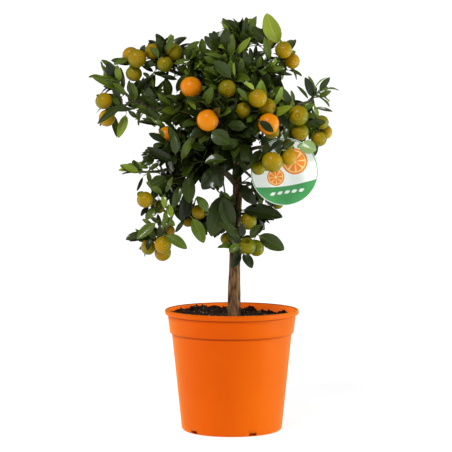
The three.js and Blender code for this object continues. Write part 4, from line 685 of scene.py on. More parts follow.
def plain(name, colour, roughness=0.5, specular=0.5, **more):
    """A finish whose numbers are all set on the shader itself. `more` are other inputs of the shader."""
    material = bpy.data.materials.new(name)
    material.use_nodes = True
    feed(material.node_tree, material.node_tree.nodes["Principled BSDF"], Base_Color=linear(colour),
         Roughness=roughness, Specular_IOR_Level=specular, **more)
    return material


def mottled(name, stops, scale, stretch=(1, 1, 1), roughness=0.6, bump=0.3, bump_scale=None,
            rough_spread=0.0, bump_depth=0.0005, specular=0.5, **more):
    """A finish with a noise pattern in its colour, and a finer one in its relief and roughness."""
    material = plain(name, stops[0][1], roughness, specular, **more)
    tree = material.node_tree
    place = add_node(tree, "TexCoord").outputs["Object"]
    place = add_node(tree, "Mapping", Vector=place, Scale=stretch).outputs["Vector"]
    coarse, fine = (
        add_node(tree, "TexNoise", Vector=place, Scale=size, Detail=NOISE_DETAIL).outputs["Fac"]
        for size in (scale, bump_scale or scale * 4))
    ramp = add_node(tree, "ValToRGB", Fac=coarse)
    while len(ramp.color_ramp.elements) < len(stops):
        ramp.color_ramp.elements.new(0.5)
    for element, (position, colour) in zip(ramp.color_ramp.elements, stops):
        element.position = position
        element.color = linear(colour)
    relief = add_node(tree, "Bump", Strength=bump, Distance=bump_depth, Height=fine)
    shader = tree.nodes["Principled BSDF"]
    feed(tree, shader, Base_Color=ramp.outputs["Color"], Normal=relief.outputs["Normal"])
    if rough_spread:
        spread = add_node(tree, "MapRange", Value=fine, To_Min=roughness - rough_spread,
                          To_Max=roughness + rough_spread)
        feed(tree, shader, Roughness=spread.outputs["Result"])
    return material


def ripe_colour(value):
    stops = [stop for stop, _ in RIPENESS]
    return [np.interp(value, stops, [colour[k] for _, colour in RIPENESS]) for k in range(3)]


leaf_materials = []
for name, upper, rib, under in TONES:
    leaf_materials += [
        plain(f"leaf_{name}", upper, 0.36, 0.14, Coat_Weight=0.3, Coat_Roughness=0.1),
        plain(f"leaf_{name}_rib", rib, 0.45, 0.1),
        plain(f"leaf_{name}_under", under, 0.6, 0.1),
    ]
fruit_materials = [plain(f"peel_{step:02d}", ripe_colour(step / (RIPE_STEPS - 1)), 0.34, 0.15)
                   for step in range(RIPE_STEPS)]
calyx_material = plain("calyx", (74, 92, 32), 0.55)
twig_material = mottled("twig_bark", [(0.3, (58, 68, 30)), (0.6, (84, 84, 44)), (0.8, (98, 84, 52))], 90)
bark_material = mottled(
    "trunk_bark", [(0.36, (46, 30, 18)), (0.5, (98, 68, 42)), (0.64, (138, 103, 68))], 280,
    stretch=(1, 1, 0.24), roughness=0.85, bump=0.9, bump_scale=700, bump_depth=0.0012, specular=0.2)
bough_material = mottled(
    "bough_bark", [(0.3, (54, 52, 32)), (0.55, (86, 76, 50)), (0.8, (112, 98, 72))], 150,
    stretch=(1, 1, 0.5), roughness=0.8, bump=0.6)
sheen = dict(Sheen_Weight=0.6, Sheen_Roughness=0.5, Sheen_Tint=linear((255, 168, 30)))
pot_materials = [
    mottled("pot_plastic", [(0.35, (201, 76, 0)), (0.65, (207, 83, 0))], roughness=0.42,
            rough_spread=0.03, **PLASTIC, **sheen),
    # Painted light: the wall's inner side has a paler colour and a glow, so that it looks lit inside the
    # shaded pot.
    mottled("pot_plastic_inner_painted_glow", [(0.35, (255, 120, 24)), (0.65, (255, 128, 30))], roughness=0.5,
            **PLASTIC, Emission_Color=linear((255, 96, 12)), Emission_Strength=0.35),
    # Painted shade: darker plastic in the bands under the collar and the rim.
    mottled("pot_plastic_painted_shade", [(0.35, (164, 44, 0)), (0.65, (172, 50, 0))], roughness=0.5,
            **PLASTIC, **sheen),
]
compost_material = mottled(
    "compost", [(0.3, (21, 12, 6)), (0.55, (45, 28, 15)), (0.8, (76, 51, 30))], 160, roughness=0.95,
    bump=1.0, bump_depth=0.002, specular=0.1)
crumb_materials = [plain("crumb_dark", (27, 17, 10), 0.95), plain("crumb_brown", (58, 39, 23), 0.95),
                   plain("crumb_pale", (98, 78, 56), 0.9)]
fibre_material = plain("fibre", (150, 122, 88), 0.9)
card_material = mottled("tag_card", [(0.4, (240, 241, 238)), (0.6, (246, 247, 244))], 40, roughness=0.35,
                        bump=0.05, bump_scale=1500, bump_depth=0.0001)
ink_materials = [plain(f"ink_{k}", colour, 0.4) for k, colour in enumerate(INKS.values())]
tie_material = plain("tie_plastic", (222, 226, 218), 0.3)

# ---------------------------------------------------------------- skins and tubes


def skin(rings, sides, downward=False):
    """Faces of a closed skin over a first point, rings of points and a last point, in that order.

    The rings run anticlockwise as seen from the last point, or, with `downward`, from the first."""
    round_it = [(k, (k + 1) % sides) for k in range(sides)]
    last = 1 + rings * sides
    faces = [(0, 1 + b, 1 + a) for a, b in round_it]
    for start in range(1, last - sides, sides):
        faces += [(start + a, start + b, start + b + sides, start + a + sides) for a, b in round_it]
    faces += [(last, last - sides + a, last - sides + b) for a, b in round_it]
    return [(face[0], *face[:0:-1]) for face in faces] if downward else faces


def tube(middle, radii, sides, profile=None):
    """Points and faces of a closed tube along a line of points, with a flat foot and a domed tip."""
    middle = np.asarray(middle, float)
    along = np.gradient(middle, axis=0)
    along /= norm(along, axis=1)[:, None]
    upright = abs(unit(middle[-1] - middle[0])[2]) > UPRIGHT
    reference = np.array((1.0, 0, 0)) if upright else np.array((0, 0, 1.0))
    across = reference - along * (along @ reference)[:, None]
    across /= norm(across, axis=1)[:, None]
    third = np.cross(along, across)
    angles = angles_round(sides)
    wide = np.asarray(radii, float)[:, None] * (np.ones((len(middle), sides)) if profile is None else profile)
    rings = (middle[:, None] + across[:, None] * (wide * np.cos(angles))[..., None]
             + third[:, None] * (wide * np.sin(angles))[..., None])
    points = np.vstack([middle[:1], rings.reshape(-1, 3), middle[-1:] + along[-1:] * radii[-1]])
    return points, skin(len(middle), sides)


def joined(shapes):
    """Several shapes of (points, faces) as one."""
    points, faces, start = [], [], 0
    for shape_points, shape_faces in shapes:
        points.append(shape_points)
        faces += [tuple(i + start for i in face) for face in shape_faces]
        start += len(shape_points)
    return np.vstack(points), faces


# ---------------------------------------------------------------- the space of each mass


class Fruit:
    """A fruit hangs from its top, where its stalk ends. Its eye, the scar at its foot, is opposite."""

    def __init__(self, mass, at, across, ripeness, eye=None):
        self.mass, self.across, self.ripeness = mass, across, ripeness
        self.centre = np.array(at, float)
        way = HANGING_EYE if eye is None else (eye[0], -math.sqrt(1 - eye[0]**2 - eye[1]**2), eye[1])
        self.top = -unit(way)
        self.end = self.centre + self.top * (across / 2 - STALK_END)


class Mass:
    """An ellipsoid, cut by a flat wall towards each other mass, and the twigs and leaves that grow there.

    No new leaf may cross `runs`, the leaves' edges and the twigs' chords, or `blades`, their triangles."""

    def __init__(self, index, name, limb, at, half, tips):
        self.name, self.limb, self.tips = name, limb, tips
        self.centre = np.array(at, float)
        self.half = np.array(half, float)
        self.draw = seeded(SEED + SEED_STEP * index)
        self.fruit = [fruit for fruit in fruits if fruit.mass == name]
        self.twigs, self.leaves, self.walls = [], [], []
        self.runs = np.zeros((0, 2, 3))
        self.blades = np.zeros((0, 3, 3))
        self.away = unit(self.centre - AWAY.middle) * AWAY.share
        self.scale = np.clip(self.half.prod() ** (1 / 3) / LEAVES.size, *LEAVES.scales)
        reach = self.half.max() * LEAF.over
        near = norm(wood_a - self.centre, axis=1) < reach + NEAR.wood
        self.near_wood = wood_a[near], wood_b[near], wood_radius[near]
        near = norm(fruit_centres - self.centre, axis=1) < reach + NEAR.fruit
        self.near_fruit = fruit_centres[near], fruit_sizes[near]
        near = norm((disc_centres - self.centre)[:, (0, 2)], axis=1) < reach + NEAR.discs
        self.near_discs = disc_centres[near], disc_sizes[near]

    def inside_walls(self, points):
        return bool((np.atleast_2d(points) @ self.wall_normals.T < self.wall_ats - WALL_GAP).all())

    def inside_space(self, points):
        away = (np.atleast_2d(points) - self.centre) / (self.half * LEAF.over)
        return bool((norm(away, axis=1) <= 1).all()) and self.inside_walls(points)

    def way_out(self, point, direction):
        """How far one can go from a point before leaving the mass's space."""
        size = self.half * LEAF.over
        p, d = (point - self.centre) / size, direction / size
        half = p @ d / (d @ d)
        way = -half + math.sqrt(max(0, half * half - (p @ p - 1) / (d @ d)))
        slopes = self.wall_normals @ direction
        ahead = slopes > 1e-6
        rooms = (self.wall_ats[ahead] - WALL_GAP - self.wall_normals[ahead] @ point) / slopes[ahead]
        return min(way, rooms.min(initial=way))


def wall_between(mass, other):
    """The flat wall between two masses: past neither one's fruit, and else halfway by their size."""
    normal = unit(other.centre - mass.centre)
    start, end = normal @ mass.centre, normal @ other.centre
    mine, theirs = norm(normal * mass.half), norm(normal * other.half)
    at = mix(start, end, mine / (mine + theirs))
    for fruit in mass.fruit:
        at = max(at, normal @ fruit.centre + fruit.across / 2 + FRUIT_ROOM * WALL_GAP)
    for fruit in other.fruit:
        at = min(at, normal @ fruit.centre - fruit.across / 2 - FRUIT_ROOM * WALL_GAP)
    return normal, at


def build_walls():
    for i, mass in enumerate(masses):
        for other in masses[i + 1:]:
            normal, at = wall_between(mass, other)
            mass.walls.append((normal, at))
            other.walls.append((-normal, -at))
    for mass in masses:
        mass.wall_normals = np.array([normal for normal, _ in mass.walls])
        mass.wall_ats = np.array([at for _, at in mass.walls])


def shown_discs():
    """What other leaves may not hide: the fruit in front, and discs along each leaf that stands out."""
    discs = [(fruit.centre, fruit.across / 2 * HIDES) for fruit in fruits if fruit.centre[1] < BACK_FROM]
    for rows in LEAVES_SEEN.values():
        for base, tip, width, _ in rows:
            base, tip = np.array(base, float), np.array(tip, float)
            discs += [(mix(base, tip, share), width * SEEN.disc) for share in SEEN.disc_shares]
    return (np.array(column) for column in zip(*discs))


fruits = [Fruit(mass, *row) for mass, rows in FRUIT.items() for row in rows]
fruit_centres = np.array([fruit.centre for fruit in fruits])
fruit_sizes = np.array([fruit.across / 2 for fruit in fruits])
disc_centres, disc_sizes = shown_discs()
seen_tips = np.array([(x, z) for rows in LEAVES_SEEN.values() for _, (x, _, z), _, _ in rows], float)
open_places, open_sizes = np.array(OPENINGS, float)[:, :2], np.array(OPENINGS, float)[:, 2:]
limb_runs = {}
for name, rows in LIMBS.items():
    middle, radii = limb_line(rows, np.linspace(0, 1, LIMB_STEPS * len(rows) + 1))
    limb_runs[name] = (middle[:-1], middle[1:], radii[:-1])
wood_a, wood_b, wood_radius = (np.concatenate([runs[k] for runs in limb_runs.values()]) for k in range(3))
masses = [Mass(index, *row) for index, row in enumerate(MASSES)]
build_walls()

# ---------------------------------------------------------------- what growth keeps clear of


def seen_at(points, depth):
    """Where the camera sees these points on the upright plane y = depth."""
    share = (depth - EYE[1]) / (points[..., 1] - EYE[1])
    return EYE + (points - EYE) * share[..., None]


def shows_through(points):
    """Whether any of the points would close an opening of the front view."""
    seen = seen_at(points, np.zeros(len(points)))[:, (0, 2)]
    off = (seen[:, None] - open_places) / open_sizes
    return bool(((off * off).sum(-1) < 1).any())


def hides_shown(mass, points):
    """Whether any of the points hides a fruit, a leaf that stands out, or the tag's lower or right part."""
    centres, sizes = mass.near_discs
    depth = centres[None, :, 1]
    seen = seen_at(points[:, None], depth)
    off = norm((seen - centres)[..., (0, 2)], axis=-1)
    if ((off < sizes) & (points[:, None, 1] < depth - IN_FRONT)).any():
        return True
    x, y, z = TAG.at
    seen = seen_at(points, np.full(len(points), float(y)))
    off = np.hypot(seen[:, 0] - x, seen[:, 2] - z)
    shown = (seen[:, 2] < z + TAG_SHOWN.below) | (seen[:, 0] > x + TAG_SHOWN.right_of)
    shown &= off < TAG.radius
    return bool((shown & (points[:, 1] < y)).any())


def touches_wood(mass, points):
    a, b, radius = mass.near_wood
    _, near = nearest_on_run(points[:, None], a, b)
    return bool((norm(points[:, None] - near, axis=-1) < radius + WOOD_GAP).any())


def touches_fruit(mass, points):
    centres, sizes = mass.near_fruit
    away = norm(points[:, None] - centres, axis=-1)
    return bool((away < sizes + FRUIT_GAP).any())


def touches_tag(points):
    """Whether the points lie by the tag's card or by its tie, or on both sides of the card."""
    x, y, z = TAG.at
    off = np.hypot(points[:, 0] - x, points[:, 2] - z)
    over = off < TAG.radius + TAG_GAP
    if over.any() and (np.abs(points[over, 1] - y) < TAG_GAP).any():
        return True
    if over.any() and points[:, 1].min() < y < points[:, 1].max():
        return True
    upper = points[:, 2] > z + TAG.radius - TIE_ROOM.below
    upper &= np.abs(points[:, 0] - x) < TAG.tab + TIE_ROOM.beside
    return bool((upper & (np.abs(points[:, 1] - y) < TIE_ROOM.depth)).any())


def pierced(runs, triangles):
    """Whether any of the straight runs passes through any of the triangles."""
    if not len(runs) or not len(triangles):
        return False
    a, way = runs[:, None, 0], (runs[:, 1] - runs[:, 0])[:, None]
    corner = triangles[None, :, 0]
    one, two = triangles[None, :, 1] - corner, triangles[None, :, 2] - corner
    cross = np.cross(way, two)
    size = (one * cross).sum(-1)
    size = np.where(np.abs(size) < 1e-9, 1e-9, size)
    off = a - corner
    u = (off * cross).sum(-1) / size
    around = np.cross(off, one)
    v = (way * around).sum(-1) / size
    t = (two * around).sum(-1) / size
    return bool(((u >= 0) & (v >= 0) & (u + v <= 1) & (t >= 0) & (t <= 1)).any())


# ---------------------------------------------------------------- growing: stems, twigs and leaves


class Twig:
    """A thin tapering shoot from a to b, bent by an offset."""

    def __init__(self, a, b, radii, offset=(0, 0, 0), steps=5):
        self.a, self.b, self.radii = np.asarray(a, float), np.asarray(b, float), radii
        self.line = bent(self.a, self.b, np.asarray(offset, float), steps)
        self.along = unit(self.b - self.a)

    def point(self, share):
        place = share * (len(self.line) - 1)
        i = min(int(place), len(self.line) - 2)
        return mix(self.line[i], self.line[i + 1], place - i)

    def shape(self):
        return tube(self.line, np.linspace(*self.radii, len(self.line)), TWIG.sides)


class Leaf:
    """A leaf lies along base-tip, with its face turned the given way as far as that allows."""

    def __init__(self, base, tip, width, facing, tone):
        self.base, self.tip, self.width, self.tone = base, tip, width, tone
        self.length = norm(tip - base)
        self.along = (tip - base) / self.length
        self.normal = unit(facing - self.along * (facing @ self.along))
        self.side = np.cross(self.along, self.normal)
        near, far = (base + self.along * self.length * share for share in (TEST_BLADE.near, TEST_BLADE.far))
        rise = self.normal * self.length * TEST_BLADE.rise
        start = base + self.along * self.length * TEST_BLADE.start
        half = self.side * width / 2
        narrow = TEST_BLADE.far_width * half
        rim = np.array([start, near + half + rise, far + narrow + rise, tip, far - narrow + rise,
                        near - half + rise])
        self.samples = np.vstack([rim, near + rise, far + rise, (near + start) / 2,
                                  (rim[1] + rim[2]) / 2, (rim[4] + rim[5]) / 2])
        loop = np.vstack([rim, rim[:1]])
        self.runs = np.array([*zip(loop[:-1], loop[1:]), (start, tip)])
        self.blades = np.array([(start, rim[k], rim[k + 1]) for k in range(1, 5)])


def facing_of(mass, lean):
    outward = unit((mass.centre[0], mass.centre[1], 0))
    sway = np.array([mass.draw() - 0.5 for _ in range(3)]) * FACING.sway
    forward = -FACING.forward if mass.centre[1] < BACK_FROM else FACING.forward
    return lean * FACING.lean + outward * FACING.outward + np.array((0, forward, FACING.up)) + sway


def add_leaf(mass, leaf):
    mass.leaves.append(leaf)
    mass.runs = np.concatenate([mass.runs, leaf.runs])
    mass.blades = np.concatenate([mass.blades, leaf.blades])


def keep_leaf(mass, leaf, is_tip=False):
    """Adds a leaf unless it would leave the mass's space, touch something or close an opening."""
    inside = mass.inside_walls if is_tip else mass.inside_space
    if not inside(leaf.samples) or touches_tag(leaf.samples):
        return False
    if touches_fruit(mass, leaf.samples[1:]) or touches_wood(mass, leaf.samples[1:]):
        return False
    if not is_tip and (shows_through(leaf.samples) or hides_shown(mass, leaf.samples)):
        return False
    if pierced(leaf.runs, mass.blades) or pierced(mass.runs, leaf.blades):
        return False
    add_leaf(mass, leaf)
    return True


def keep_twig(mass, twig):
    mass.twigs.append(twig)
    chord = np.array([[mix(twig.a, twig.b, share) for share in TWIG_CORE]])
    mass.runs = np.concatenate([mass.runs, chord])


def place_stem(mass):
    """The stem runs from the nearest point inside its limb to the middle of the mass."""
    a, b, _ = limb_runs[mass.limb]
    _, near = nearest_on_run(mass.centre, a, b)
    foot = near[norm(near - mass.centre, axis=1).argmin()]
    mass.stem = Twig(foot, mass.centre, STEM)
    keep_twig(mass, mass.stem)


def share_for(mass, out):
    """How far along the stem a twig leaves it: those that lead forwards start nearest its end."""
    return mix(*TWIG.root_shares, (1 + out @ mass.stem.along) / 2)


def tone_for(mass):
    """The tone of one spray, drawn by its mass's shares: as a rule most are dark, the sunny masses get
    lighter tones as painted light, and the shaded masses deeper tones as painted shade.
    """
    shares = SUNNY_SHARES if mass.name in SUNNY else SHADED_SHARES if mass.name in SHADED else TONE_SHARES
    steps = np.cumsum(shares)
    return int(np.searchsorted(steps, mass.draw() * steps[-1]))


def grow_seen(mass):
    """The leaves that stand out in the front view, each at the end of a twig of its own."""
    for base, tip, width, tone in LEAVES_SEEN.get(mass.name, ()):
        base, tip = np.array(base, float), np.array(tip, float)
        root = mass.stem.point(share_for(mass, unit(base - mass.centre)))
        offset = unit(base - tip) * SEEN.bend * norm(base - root)
        keep_twig(mass, Twig(root, base, FINE.radius, offset))
        facing = np.array(SEEN.facing) + [mass.draw() * SEEN.sway - SEEN.sway / 2 for _ in range(3)]
        add_leaf(mass, Leaf(base, tip, width, facing, tone))


def grow_fruit(mass):
    """The stalk of each fruit, with a few leaves on it."""
    for fruit in mass.fruit:
        toward = mix(fruit.end, mass.centre, STALK.toward)
        share, _ = nearest_on_run(toward, mass.stem.a, mass.stem.b)
        root = mass.stem.point(float(np.clip(share, TWIG.root_shares[0] / 2, TWIG.root_shares[1])))
        sag = fruit.top * STALK.sag * norm(fruit.end - root)
        stalk = Twig(root, fruit.end, STALK.radius, sag, STALK.steps)
        fruit.way = unit(stalk.line[-2] - stalk.line[-1])
        keep_twig(mass, stalk)
        grow_leaves(mass, stalk, STALK, tone_for(mass))


def grow_outline(mass):
    """The furthest leaves, each on a twig of its own that carries a few more."""
    for x, y, z, width in mass.tips:
        tip = np.array((x, y, z), float)
        if (norm(seen_tips - (x, z), axis=1) < SEEN.near).any():
            continue
        root = mass.stem.point(share_for(mass, unit(tip - mass.centre)))
        whole = norm(tip - root)
        length = np.clip(width / OUTLINE.slender, *OUTLINE.lengths)
        length = min(length, whole - OUTLINE.root_room)
        base = mix(tip, root, length / whole)
        twig = Twig(root, base, TWIG.radius)
        keep_twig(mass, twig)
        tone = tone_for(mass)
        keep_leaf(mass, Leaf(base, tip, width, facing_of(mass, unit(tip - root)), tone), is_tip=True)
        grow_leaves(mass, twig, OUTLINE, tone)


def even_direction(index, start):
    """Directions spread evenly over a sphere, however many of them are used."""
    height = 1 - 2 * ((start + index * EVEN_STEPS[0]) % 1)
    angle = 2 * math.pi * ((start + index * EVEN_STEPS[1]) % 1)
    flat = math.sqrt(1 - height * height)
    return np.array((flat * math.cos(angle), flat * math.sin(angle), height))


def grow_leaves(mass, twig, kind, tone):
    """Leaves leave a twig at the golden angle, and the last one carries on from its end."""
    draw = mass.draw
    turn = draw() * 2 * math.pi
    around = any_perpendicular(twig.along)
    kept = 0
    for j in range(kind.leaves):
        place = j / (kind.leaves - 1)
        share = mix(kind.first, 1, place)
        turn += GOLDEN * mix(*LEAF.turn, draw())
        spread = mix(*SPREAD, place) * mix(*LEAF.spread, draw())
        side = turned_about(around, twig.along, turn)
        direction = unit(twig.along * math.cos(spread) + side * math.sin(spread) + mass.away)
        base = twig.point(share)
        full = mix(*LEAF.lengths, draw()) * mix(1, LEAF.end_share, place) * mass.scale
        slender = mix(*LEAF.wide, draw())
        length = min(full, mass.way_out(base, direction) * LEAF.room)
        if length < LEAF.shortest * mass.scale:
            continue
        tip = base + direction * length
        width = slender * mix(length, full, LEAF.narrowing)
        kept += keep_leaf(mass, Leaf(base, tip, width, facing_of(mass, direction), tone))
    return kept


def grow_twig(mass, root, end, kind, tone, fewest):
    """A twig with its leaves. It isn't kept where too few of them find room."""
    reach = norm(end - root)
    if reach < TWIG.shortest or not mass.inside_walls(end):
        return None
    offset = np.array((0, 0, TWIG.lift * reach))
    offset += np.array([mass.draw() - 0.5 for _ in range(3)]) * 2 * TWIG.sway * reach
    twig = Twig(root, end, kind.radius, offset)
    if touches_fruit(mass, twig.line[1:]) or touches_wood(mass, twig.line[2:]) or touches_tag(twig.line):
        return None
    if shows_through(twig.line) or pierced(np.array([[twig.line[1], twig.line[-1]]]), mass.blades):
        return None
    saved = len(mass.leaves), mass.runs, mass.blades
    if grow_leaves(mass, twig, kind, tone) < fewest:
        del mass.leaves[saved[0]:]
        mass.runs, mass.blades = saved[1:]
        return None
    keep_twig(mass, twig)
    return twig


def grow_twigs(mass):
    """Twigs leave the stem on all sides, and finer ones leave them, until the mass has its leaves."""
    draw = mass.draw
    mean = mass.half.prod() ** (1 / 3)
    wanted = round(LEAVES.count * (mean / LEAVES.size) ** 2 * SPARSE.get(mass.name, 1))
    start = draw()
    for i in range(LEAVES.twigs):
        if len(mass.leaves) >= wanted:
            break
        out = even_direction(i, start)
        tone = tone_for(mass)
        end = mass.centre + out * mass.half * mix(*TWIG.reach, draw())
        fewest = LEAVES.fewest if i < LEAVES.single else 1
        for share in (share_for(mass, out), *TWIG.spare_shares):
            twig = grow_twig(mass, mass.stem.point(share), end, TWIG, tone, fewest)
            if twig is not None:
                break
        else:
            continue
        turn = draw() * 2 * math.pi
        for at in FINE.at:
            turn += GOLDEN
            side = turned_about(any_perpendicular(twig.along), twig.along, turn)
            way = unit(twig.along * math.cos(FINE.turn) + side * math.sin(FINE.turn))
            root = twig.point(at)
            end = root + way * mass.way_out(root, way) * mix(*FINE.reach, draw()) * FINE.room
            grow_twig(mass, root, end, FINE, tone, fewest)


# ---------------------------------------------------------------- leaves as meshes


def blade_width(t):
    """Half the width of a leaf at a share of its length, as a share of its greatest."""
    s = np.clip((t - PETIOLE.long) / (1 - PETIOLE.long), 0, 1)
    shape = s ** BLADE.foot * (1 - s) ** BLADE.tip
    widest = BLADE.foot / (BLADE.foot + BLADE.tip)
    fullest = widest ** BLADE.foot * (1 - widest) ** BLADE.tip
    return np.maximum(shape / fullest, PETIOLE.wide * (s < 0.5))


def leaf_grid():
    """The template of a leaf: (t, v, is top) of each point, faces, their kinds, and the rim."""
    points, rim, top, under = [], [], {}, {}
    last_row, last_column = len(LEAF_MESH.rows) - 1, LEAF_MESH.columns - 1
    for row, t in enumerate(LEAF_MESH.rows):
        rib = min(LEAF_MESH.widest_rib, LEAF_MESH.rib / blade_width(np.array(t)))
        halfway = (1 + rib) / 2
        for column, v in enumerate((-1, -halfway, -rib, rib, halfway, 1)):
            top[row, column] = under[row, column] = len(points)
            on_rim = column in (0, last_column)
            points.append((t, v, 1.0))
            rim.append(on_rim)
            if not on_rim:
                under[row, column] = len(points)
                points.append((t, v, 0.0))
                rim.append(False)
    tip = len(points)
    points.append((1, 0, 1.0))
    rim.append(True)
    faces, kinds = [], []
    for column in range(last_column):
        kind = 1 if column == last_column // 2 else 0
        for row in range(last_row):
            corners = [(row, column), (row, column + 1), (row + 1, column + 1), (row + 1, column)]
            faces.append([top[corner] for corner in corners])
            faces.append([under[corner] for corner in reversed(corners)])
            kinds += [kind, 2]
        faces.append([top[last_row, column], top[last_row, column + 1], tip])
        faces.append([under[last_row, column + 1], under[last_row, column], tip])
        kinds += [kind, 2]
    foot = [top[0, column] for column in range(last_column + 1)]
    foot += [under[0, column] for column in range(last_column - 1, 0, -1)]
    faces.append(foot[::-1])
    kinds.append(1)
    return np.array(points), faces, np.array(kinds), np.array(rim)


def leaf_piece(name, leaves, nodes):
    """All the leaves of several masses as one mesh, which stands for those masses' solids."""
    template, template_faces, kinds, template_rim = leaf_grid()
    t, v, is_top = template.T
    half_width = blade_width(t)
    half_width[-1] = 0
    count = len(leaves)
    random = np.random.default_rng(SEED)

    def spread(low, high):
        return random.uniform(low, high, (count, 1))

    def gather(key):
        return np.array([getattr(leaf, key) for leaf in leaves])[:, None]

    length, width = gather("length"), gather("width")
    sideways = v * half_width * width / 2
    bow = 4 * t * (1 - t)
    fold = spread(*BENDS.fold)
    height = spread(*BENDS.arch) * length * bow + fold * np.abs(sideways)
    height -= fold * width * BENDS.sink * half_width
    waves = np.sin(spread(0, 2 * math.pi) + 2 * math.pi * t * spread(*BENDS.waves)
                   + BENDS.wave_offset * np.sign(v))
    height += BENDS.wave * waves * v**2 * half_width * width
    height -= (1 - is_top) * LEAF_MESH.thick
    sideways = sideways + spread(-1, 1) * BENDS.sway * length * bow
    angle = spread(-1, 1) * BENDS.twist * (t - BENDS.twist_from)
    cos, sin = np.cos(angle), np.sin(angle)
    points = (gather("base") + gather("along") * (t * length)[..., None]
              + gather("side") * (sideways * cos - height * sin)[..., None]
              + gather("normal") * (sideways * sin + height * cos)[..., None])
    faces = []
    for start in range(0, count * len(t), len(t)):
        faces += [[i + start for i in face] for face in template_faces]
    looks = (gather("tone") * 3 + kinds).ravel()
    piece = make_piece(name, points.reshape(-1, 3), faces, leaf_materials, looks, "foliage",
                       np.tile(template_rim, count))
    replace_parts(piece, *nodes)


# ---------------------------------------------------------------- fruit


def fruit_skin(fruit, index):
    """Points of a slightly flattened ball with a dimple at the stalk and a ringed scar at the eye."""
    down = np.linspace(0, math.pi, FRUIT_DOWN + 1)
    from_eye = math.pi - down
    radius = 1 - PEEL.dimple * np.exp(-(down / PEEL.dimple_width) ** 2)
    radius -= PEEL.dimple * np.exp(-(from_eye / PEEL.dimple_width) ** 2)
    radius += PEEL.ring_rise * np.exp(-((from_eye - PEEL.ring_at) / PEEL.ring_width) ** 2)
    across, third = frame_about(fruit.way)
    points = [fruit.way * radius[0] * PEEL.oblate]
    for row in range(1, FRUIT_DOWN):
        ring = math.sin(down[row]) * radius[row]
        for angle in angles_round(FRUIT_AROUND):
            point = across * math.cos(angle) * ring + third * math.sin(angle) * ring
            point = point + fruit.way * math.cos(down[row]) * radius[row] * PEEL.oblate
            pore = noise.noise(Vector(point * PEEL.pore_scale + index * PEEL.pore_step))
            points.append(point * (1 + PEEL.pores * pore))
    points.append(-fruit.way * radius[-1] * PEEL.oblate)
    return np.array(points)


def fruit_shape(fruit, index):
    """Points, faces, and each face's step of ripeness: more to the sun, in patches, and by the eye."""
    points, faces = fruit_skin(fruit, index), skin(FRUIT_DOWN - 1, FRUIT_AROUND, downward=True)
    draw = seeded(SEED + index)
    sunny = unit((draw() - 0.5, -draw(), draw() - 0.6))      # the sun came from the viewer's side
    strength = 1 if fruit.ripeness < PATCHES.ripe_from else PATCHES.when_ripe
    steps = []
    for place, face in enumerate(faces):
        middle = points[list(face)].mean(axis=0)
        mottle = noise.noise(Vector(middle * PATCHES.scale + index * PATCHES.step))
        value = fruit.ripeness + strength * (PATCHES.sunny * (middle @ sunny) + PATCHES.mottle * mottle)
        rows_from_eye = FRUIT_DOWN - 1 - place // FRUIT_AROUND
        if rows_from_eye < len(EYE_SHADES):
            value += EYE_SHADES[rows_from_eye]
        steps.append(int(np.clip(round(value * (RIPE_STEPS - 1)), 0, RIPE_STEPS - 1)))
    return fruit.centre + points * fruit.across / 2, faces, steps


def calyx_shape(fruit):
    """A five-pointed green star where the stalk meets the fruit."""
    across, third = frame_about(fruit.way)
    seat = fruit.centre + fruit.way * (fruit.across / 2) * (1 - PEEL.dimple) * PEEL.oblate
    points = [seat + fruit.way * CALYX.rise]
    for k, angle in enumerate(angles_round(CALYX.points)):
        out = across * math.cos(angle) + third * math.sin(angle)
        points.append(seat + out * CALYX.reach[k % 2] - fruit.way * CALYX.drop[k % 2])
    points.append(seat - fruit.way * CALYX.depth)
    return np.array(points), skin(1, CALYX.points, downward=True)


# ---------------------------------------------------------------- wood


def knots_at(z, angle):
    """How far knots stand out here, as a share of the trunk's radius."""
    rise = 0.0
    for height, at, size, tall in KNOTS:
        off = (angle - at + math.pi) % (2 * math.pi) - math.pi
        rise += KNOT.rise * size * math.exp(-(((z - height) / tall) ** 2) - (off / KNOT.angle) ** 2)
    return rise


def trunk_profile():
    """How far the bark stands out at each point of the trunk, as a share of its radius."""
    foot, top = LIMBS["trunk"][0][2], LIMBS["trunk"][-1][2]
    profile = np.ones((TRUNK_ROWS, TRUNK_SIDES))
    for row, z in enumerate(np.linspace(foot, top, TRUNK_ROWS)):
        near = math.exp(-(((z - foot) / FLARE.height) ** 2))
        rough = 1 - BARK.smoothing * smooth(z, BARK.smooth_from, BARK.smooth_to)
        for k, angle in enumerate(angles_round(TRUNK_SIDES)):
            x, y = math.cos(angle), math.sin(angle)
            cracks = noise.noise(Vector((x * BARK.fissure_turns, y * BARK.fissure_turns,
                                         z * BARK.fissure_stretch)))
            cracks = (BARK.swell[0] + BARK.swell[1] * cracks
                      - BARK.crack * max(0.0, BARK.crack_width - abs(cracks)))
            lumps = noise.noise(Vector((x * BARK.lump_turns, y * BARK.lump_turns, z * BARK.lump_stretch)))
            flare = near * (FLARE.trim + FLARE.lobe_depth * math.sin(FLARE.lobes * angle + FLARE.turn))
            profile[row, k] += flare + rough * BARK.fissure * cracks + BARK.lumps * lumps
            profile[row, k] += knots_at(z, angle)
    return profile


def trunk_shape():
    middle, radii = limb_line(LIMBS["trunk"], np.linspace(0, 1, TRUNK_ROWS))
    middle[0, 2] -= TRUNK_FOOT
    return tube(middle, radii * BARK.scale, TRUNK_SIDES, trunk_profile())


